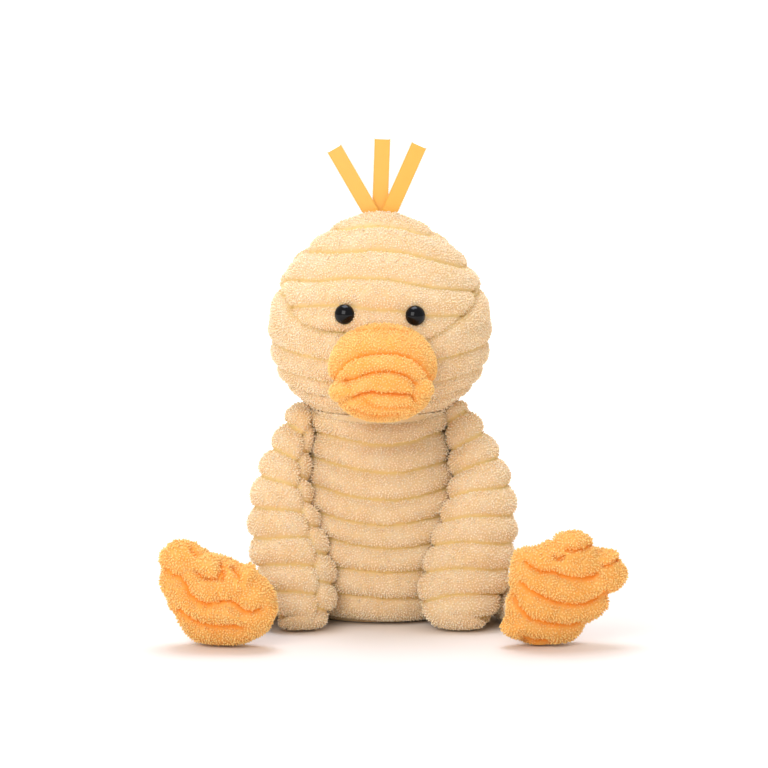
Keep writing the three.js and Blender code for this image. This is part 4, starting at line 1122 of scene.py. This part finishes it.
for side, name in SIDES:
    ahead = np.array([side * math.sin(LEG_SPLAY), -math.cos(LEG_SPLAY), 0])
    hip = np.array([side * HIP_SPAN, HIP_FORWARD, 0])
    shares = np.linspace(LEG_FROM, LEG_END[name], 9)
    rises = np.interp(shares, *np.array(LEG_RISE).T) * LEG_HALF_HEIGHT + LEG_LIFT
    line = [hip + ahead * (share * (LEG_ROOT + LEG_REACH) - LEG_ROOT) + np.array([0, 0, rise])
            for share, rise in zip(shares, rises)]
    for k, step in enumerate(shares):
        line[k][0] -= side * LEG_TOE_IN * max(0, (step - TOE_IN_FROM) / TOE_IN_OVER) ** 1.5
    spine = curve_through([*((side * x, y, z) for x, y, z in LEG_ROOTS), *line])
    leg_grid, fall, whole = tube(spine, LEG_OUTLINE, LEG_HALF_WIDTH, LEG_HALF_HEIGHT, SKIN_INSET,
                                 LEG_RINGS, LEG_COLUMNS, across=(-ahead[1], ahead[0], 0))
    gap, rise = even_wales((fall[:, None] - LEG_PHASE) / WALE, WALE)
    leg_grid = clear_of_body(pressed_in(leg_grid, LEG_RELIEF * roll(rise)), LEG_CLEARANCE)
    leg_grid[..., 2] = np.maximum(leg_grid[..., 2], LIMB_LOWEST)
    groove, pile = cord(gap)
    leg_skin, leg_pile = sew(f"leg_{name}", leg_grid, cream_plush, groove, pile, 30 + side)
    for piece in (leg_skin, leg_pile):
        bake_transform(piece)
    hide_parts(f"leg_{name}_skin", f"leg_{name}_filling")


# Feet: webbed feet of orange cord plush, each two lobed pieces sewn round the edge, turned
# and packed, with the toes gathered into soft knobs. They stand up with the soles forward.

FOOT_SPAN = 68.5
FOOT_FORWARD = -89
FOOT_MIDDLE = 26.1
FOOT_TURN = math.radians(14)
FOOT_TIP = math.radians(18)
FOOT_HALF_THICKNESS = 10.5
LEFT_FOOT = [(-99.4, 29.0), (-96.6, 31.6), (-95.3, 33.5), (-90.8, 33.8), (-84.8, 32.7), (-81.3, 30.5),
             (-78.3, 28.2), (-73.6, 27.3), (-69.3, 25.8), (-65.0, 23.9), (-61.5, 22.6), (-57.2, 22.8),
             (-54.6, 18.7), (-50.7, 15.3), (-47.7, 11.0), (-46.0, 5.8), (-45.8, 2.3), (-47.7, -2.8),
             (-49.9, -6.7), (-56.3, -10.1), (-62.8, -12.7), (-71.4, -13.4), (-80.0, -11.9), (-84.8, -8.9),
             (-89.5, -4.1), (-92.9, 1.1), (-95.5, 5.4), (-96.0, 9.7), (-98.1, 13.1), (-99.4, 16.1),
             (-99.2, 22.6)]
RIGHT_FOOT = [(61.1, 28.2), (64.6, 29.6), (70.2, 30.4), (74.9, 32.4), (78.8, 33.3), (80.5, 35.9),
              (85.2, 36.9), (92.6, 36.4), (95.7, 33.8), (96.6, 30.8), (100.3, 29.0), (105.0, 28.8),
              (108.3, 25.2), (111.7, 19.1), (108.5, 14.4), (104.0, 10.1), (103.1, 5.4), (99.9, 1.5),
              (93.0, -3.3), (91.3, -6.3), (87.4, -10.1), (79.6, -13.4), (73.6, -15.3), (67.6, -15.7),
              (63.3, -12.9), (58.1, -10.1), (53.8, -7.1), (56.4, -2.6), (56.5, 4.9), (58.3, 8.5),
              (58.1, 14.0), (58.3, 19.6), (59.2, 23.9)]
LEFT_GROOVES = [
    [(-97.0, 20.4), (-94.0, 18.3), (-90.6, 17.0), (-88.4, 14.0), (-86.3, 9.2), (-82.0, 5.8), (-77.7, 4.5),
     (-72.5, 5.4), (-67.8, 6.4), (-64.8, 4.5), (-61.3, 1.4), (-57.9, 1.0), (-54.0, 2.4)],
    [(-91.4, 1.9), (-86.3, -2.0), (-80.7, -4.4), (-74.2, -5.6), (-68.2, -5.6), (-62.1, -6.1)]]
RIGHT_GROOVES = [
    [(65.0, 23.9), (67.6, 21.3), (72.8, 18.7), (78.8, 18.5), (81.4, 17.0), (86.5, 15.7), (91.7, 15.4),
     (96.0, 16.3), (98.1, 17.8)],
    [(62.4, 13.5), (66.7, 10.1), (72.8, 7.1), (79.7, 4.5), (86.5, 3.2), (92.6, 3.6), (97.7, 5.8),
     (102.5, 9.2)],
    [(62.0, 2.4), (66.7, -2.4), (71.9, -4.4), (79.7, -5.8), (86.5, -6.3), (90.4, -5.0)],
    [(64.6, -11.9), (70.2, -13.2), (75.3, -13.2)]]
LEFT_CREASES = [[(-82.8, 20.0), (-80.2, 17.4), (-76.8, 16.5), (-73.4, 16.8), (-71.6, 19.5)],
                [(-71.6, 23.5), (-70.3, 19.5), (-70.8, 16.1)], [(-66.0, 22.1), (-63.9, 19.1), (-63.0, 16.1)],
                [(-84.6, 30.3), (-82.0, 27.3)]]
RIGHT_CREASES = [[(84.0, 29.0), (87.4, 28.6), (92.6, 29.4), (95.1, 31.2)],
                 [(100.8, 22.1), (103.3, 21.7), (105.5, 23.9), (107.6, 24.7)],
                 [(78.8, 25.6), (81.0, 24.7), (82.7, 26.0)], [(59.9, 8.4), (60.7, 4.9), (61.1, 3.3)]]
LEFT_KNOBS = [(-77.4, 22.8, 4.4, 3.6), (-57.0, 8.5, 4.2, 1.8)]
RIGHT_KNOBS = [(87.3, 33.2, 5.0, 2.4), (104.6, 25.8, 3.0, 1.6), (66.5, 26.8, 3.0, 1.0)]
FOOT_SETTLE = {"left": 1.2, "right": 0.3}
FOOT_LOWEST = 1.0
FOOT_ROOM = 0.6
FOOT_PHASE = 0.3
FOOT_BACK = 4
CREASE_BARE = (0.9, 0.7)
FOOT_ROUNDNESS = 0.72
FOOT_FLATNESS = 0.85
FOOT_FURROW = (2.9, 5.5)
FOOT_CREASE = (2.0, 1.3)
FOOT_PILE_LENGTH, FOOT_PILE_WIDTH = 1.45, 1.0
FOOT_RINGS, FOOT_COLUMNS = 150, 240
for side, name, edge, grooves, creases, knobs in (
        (-1, "left", LEFT_FOOT, LEFT_GROOVES, LEFT_CREASES, LEFT_KNOBS),
        (1, "right", RIGHT_FOOT, RIGHT_GROOVES, RIGHT_CREASES, RIGHT_KNOBS)):
    middle = np.array([side * FOOT_SPAN, FOOT_FORWARD, FOOT_MIDDLE])
    yaw = side * FOOT_TURN
    wide = np.array([math.cos(yaw), math.sin(yaw), 0])
    back = np.array([-math.sin(yaw) * math.cos(FOOT_TIP), math.cos(yaw) * math.cos(FOOT_TIP),
                     math.sin(FOOT_TIP)])
    high = np.cross(wide, back)
    smooth_edge = curve_through(edge + edge[:3], 12)
    points = seat(*smooth_edge.T, middle, back) - middle
    flat = np.stack([points @ wide, points @ high], 1)
    centre = (flat.max(0) + flat.min(0)) / 2
    turn = bearings(FOOT_COLUMNS)
    round_it = np.where(turn > np.pi, turn - 2 * np.pi, turn)
    bearing = np.arctan2(flat[:, 1] - centre[1], flat[:, 0] - centre[0])
    reach = np.hypot(flat[:, 1] - centre[1], flat[:, 0] - centre[0]) - SKIN_INSET - FOOT_ROOM
    order = np.argsort(bearing)
    reach = np.interp(round_it, bearing[order], reach[order], period=2 * np.pi)
    swing = np.linspace(0.02, np.pi - 0.02, FOOT_RINGS)
    out = np.abs(np.sin(swing)) ** FOOT_ROUNDNESS
    swell = np.abs(np.cos(swing)) ** FOOT_FLATNESS * (FOOT_HALF_THICKNESS - SKIN_INSET)
    deep = -np.sign(np.cos(swing)) * swell
    foot_grid = (middle + wide * (centre[0] + (out[:, None] * reach * np.cos(turn))[..., None])
                 + high * (centre[1] + (out[:, None] * reach * np.sin(turn))[..., None])
                 + back * deep[:, None, None])
    a, u = seen(foot_grid)
    sole = (swing < np.pi / 2)[:, None]
    behind = (foot_grid - middle) @ high / WALE + FOOT_PHASE
    gap_behind = np.abs(behind - np.round(behind)) * WALE + 4 * (deep < FOOT_BACK)[:, None]
    gap = np.where(sole, line_gap(a, u, grooves), gap_behind)
    crease = line_gap(a, u, creases) + FAR * ~sole
    depth = furrow(gap, *FOOT_FURROW) + dip(crease, *FOOT_CREASE)
    for across, up, size, swell in knobs:
        depth = depth - dip(np.hypot(a - across, u - up), swell, size) * sole
    foot_grid = pressed_in(foot_grid, depth)
    foot_grid[..., 2] = np.maximum(foot_grid[..., 2] - FOOT_SETTLE[name], FOOT_LOWEST)
    groove, pile = cord(gap, crease, groove=(0.95, 1.15), stitch=(0.8, 1.0), bare=(1.1, 0.85))
    pile = pile * np.clip(1 - dip(crease, *CREASE_BARE), 0, 1)
    foot_skin, foot_pile = sew(f"foot_{name}", foot_grid, orange_plush, groove, pile, 40 + side,
                               length=FOOT_PILE_LENGTH, width=FOOT_PILE_WIDTH)
    for piece in (foot_skin, foot_pile):
        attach(piece, f"foot_{name}")
    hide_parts(f"foot_{name}_skin", f"foot_{name}_filling")


# Floor and light: a white seamless sheet, made to glow behind the duck by painted light,
# under a white tent with a large soft light in front at the left and a smaller one overhead.

FLOOR_HALF = 4.0
FLOOR_BACK = 2.2
SWEEP_RADIUS = 1.5
# Painted light: where the paper's glow starts and is full, in metres from the duck, and how strong it gets.
PAINTED_GLOW_FROM = 0.14
PAINTED_GLOW_TO = 0.7
PAINTED_GLOW_MOST = 0.6
TENT_GLOW = 0.6

# White paper: quite matt. Painted light: it glows more and more away from the duck, as if
# a light behind reached it, though no lamp is there. Its faint warm tint is painted warm
# bounce light from the plush, which shows in its shadows.
paper, tree, shader = new_finish("studio_paper")
place = node(tree, "ShaderNodeTexCoord").outputs["Object"]
# Painted light: the paper glows with its distance from the duck.
far = node(tree, "ShaderNodeVectorMath", {0: place}, operation="LENGTH")
painted_glow = node(tree, "ShaderNodeMapRange",
            {"Value": far, "From Min": PAINTED_GLOW_FROM, "From Max": PAINTED_GLOW_TO, "To Max": PAINTED_GLOW_MOST})
feed(tree, shader, {
    # Painted light: the faint warm tint stands for warm light bounced from the plush into the paper's
    # shadows.
    "Base Color": linear("#f4ece5"), "Roughness": 0.9, "Emission Color": (1, 1, 1, 1),
    "Emission Strength": painted_glow})

bend = np.linspace(0, np.pi / 2, 24)
sweep = [(-FLOOR_HALF, 0), *zip(FLOOR_BACK + SWEEP_RADIUS * np.sin(bend), SWEEP_RADIUS * (1 - np.cos(bend))),
         (FLOOR_BACK + SWEEP_RADIUS, 4)]
mesh = bpy.data.meshes.new("floor")
mesh.from_pydata([(x, y, z) for y, z in sweep for x in (-FLOOR_HALF, FLOOR_HALF)], [],
                 [(2 * k, 2 * k + 1, 2 * k + 3, 2 * k + 2) for k in range(len(sweep) - 1)])
mesh.shade_smooth()
floor = shown("floor", mesh, paper)
floor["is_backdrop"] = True

world = bpy.data.worlds.new("white_tent")
bpy.context.scene.world = world
world.use_nodes = True
feed(world.node_tree, world.node_tree.nodes["Background"], {"Color": (1, 1, 1, 1), "Strength": TENT_GLOW})


def softbox(name, place, target, size, power, colour="#ffffff"):
    """A square soft light at a place, in metres, aimed at a target."""
    data = bpy.data.lights.new(name, "AREA")
    data.size = size
    data.energy = power
    data.color = linear(colour)[:3]
    light = shown(name, data)
    light.location = place
    light.rotation_euler = (Vector(target) - Vector(place)).to_track_quat("-Z", "Y").to_euler()


softbox("key", (-0.55, -1.45, 0.85), (0, 0, 0.1), 1.0, 14)
softbox("overhead", (-0.05, 0.1, 1.2), (0, 0, 0.1), 0.7, 9, "#e6eeff")
bpy.context.scene.view_settings.view_transform = "Standard"

low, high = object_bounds()
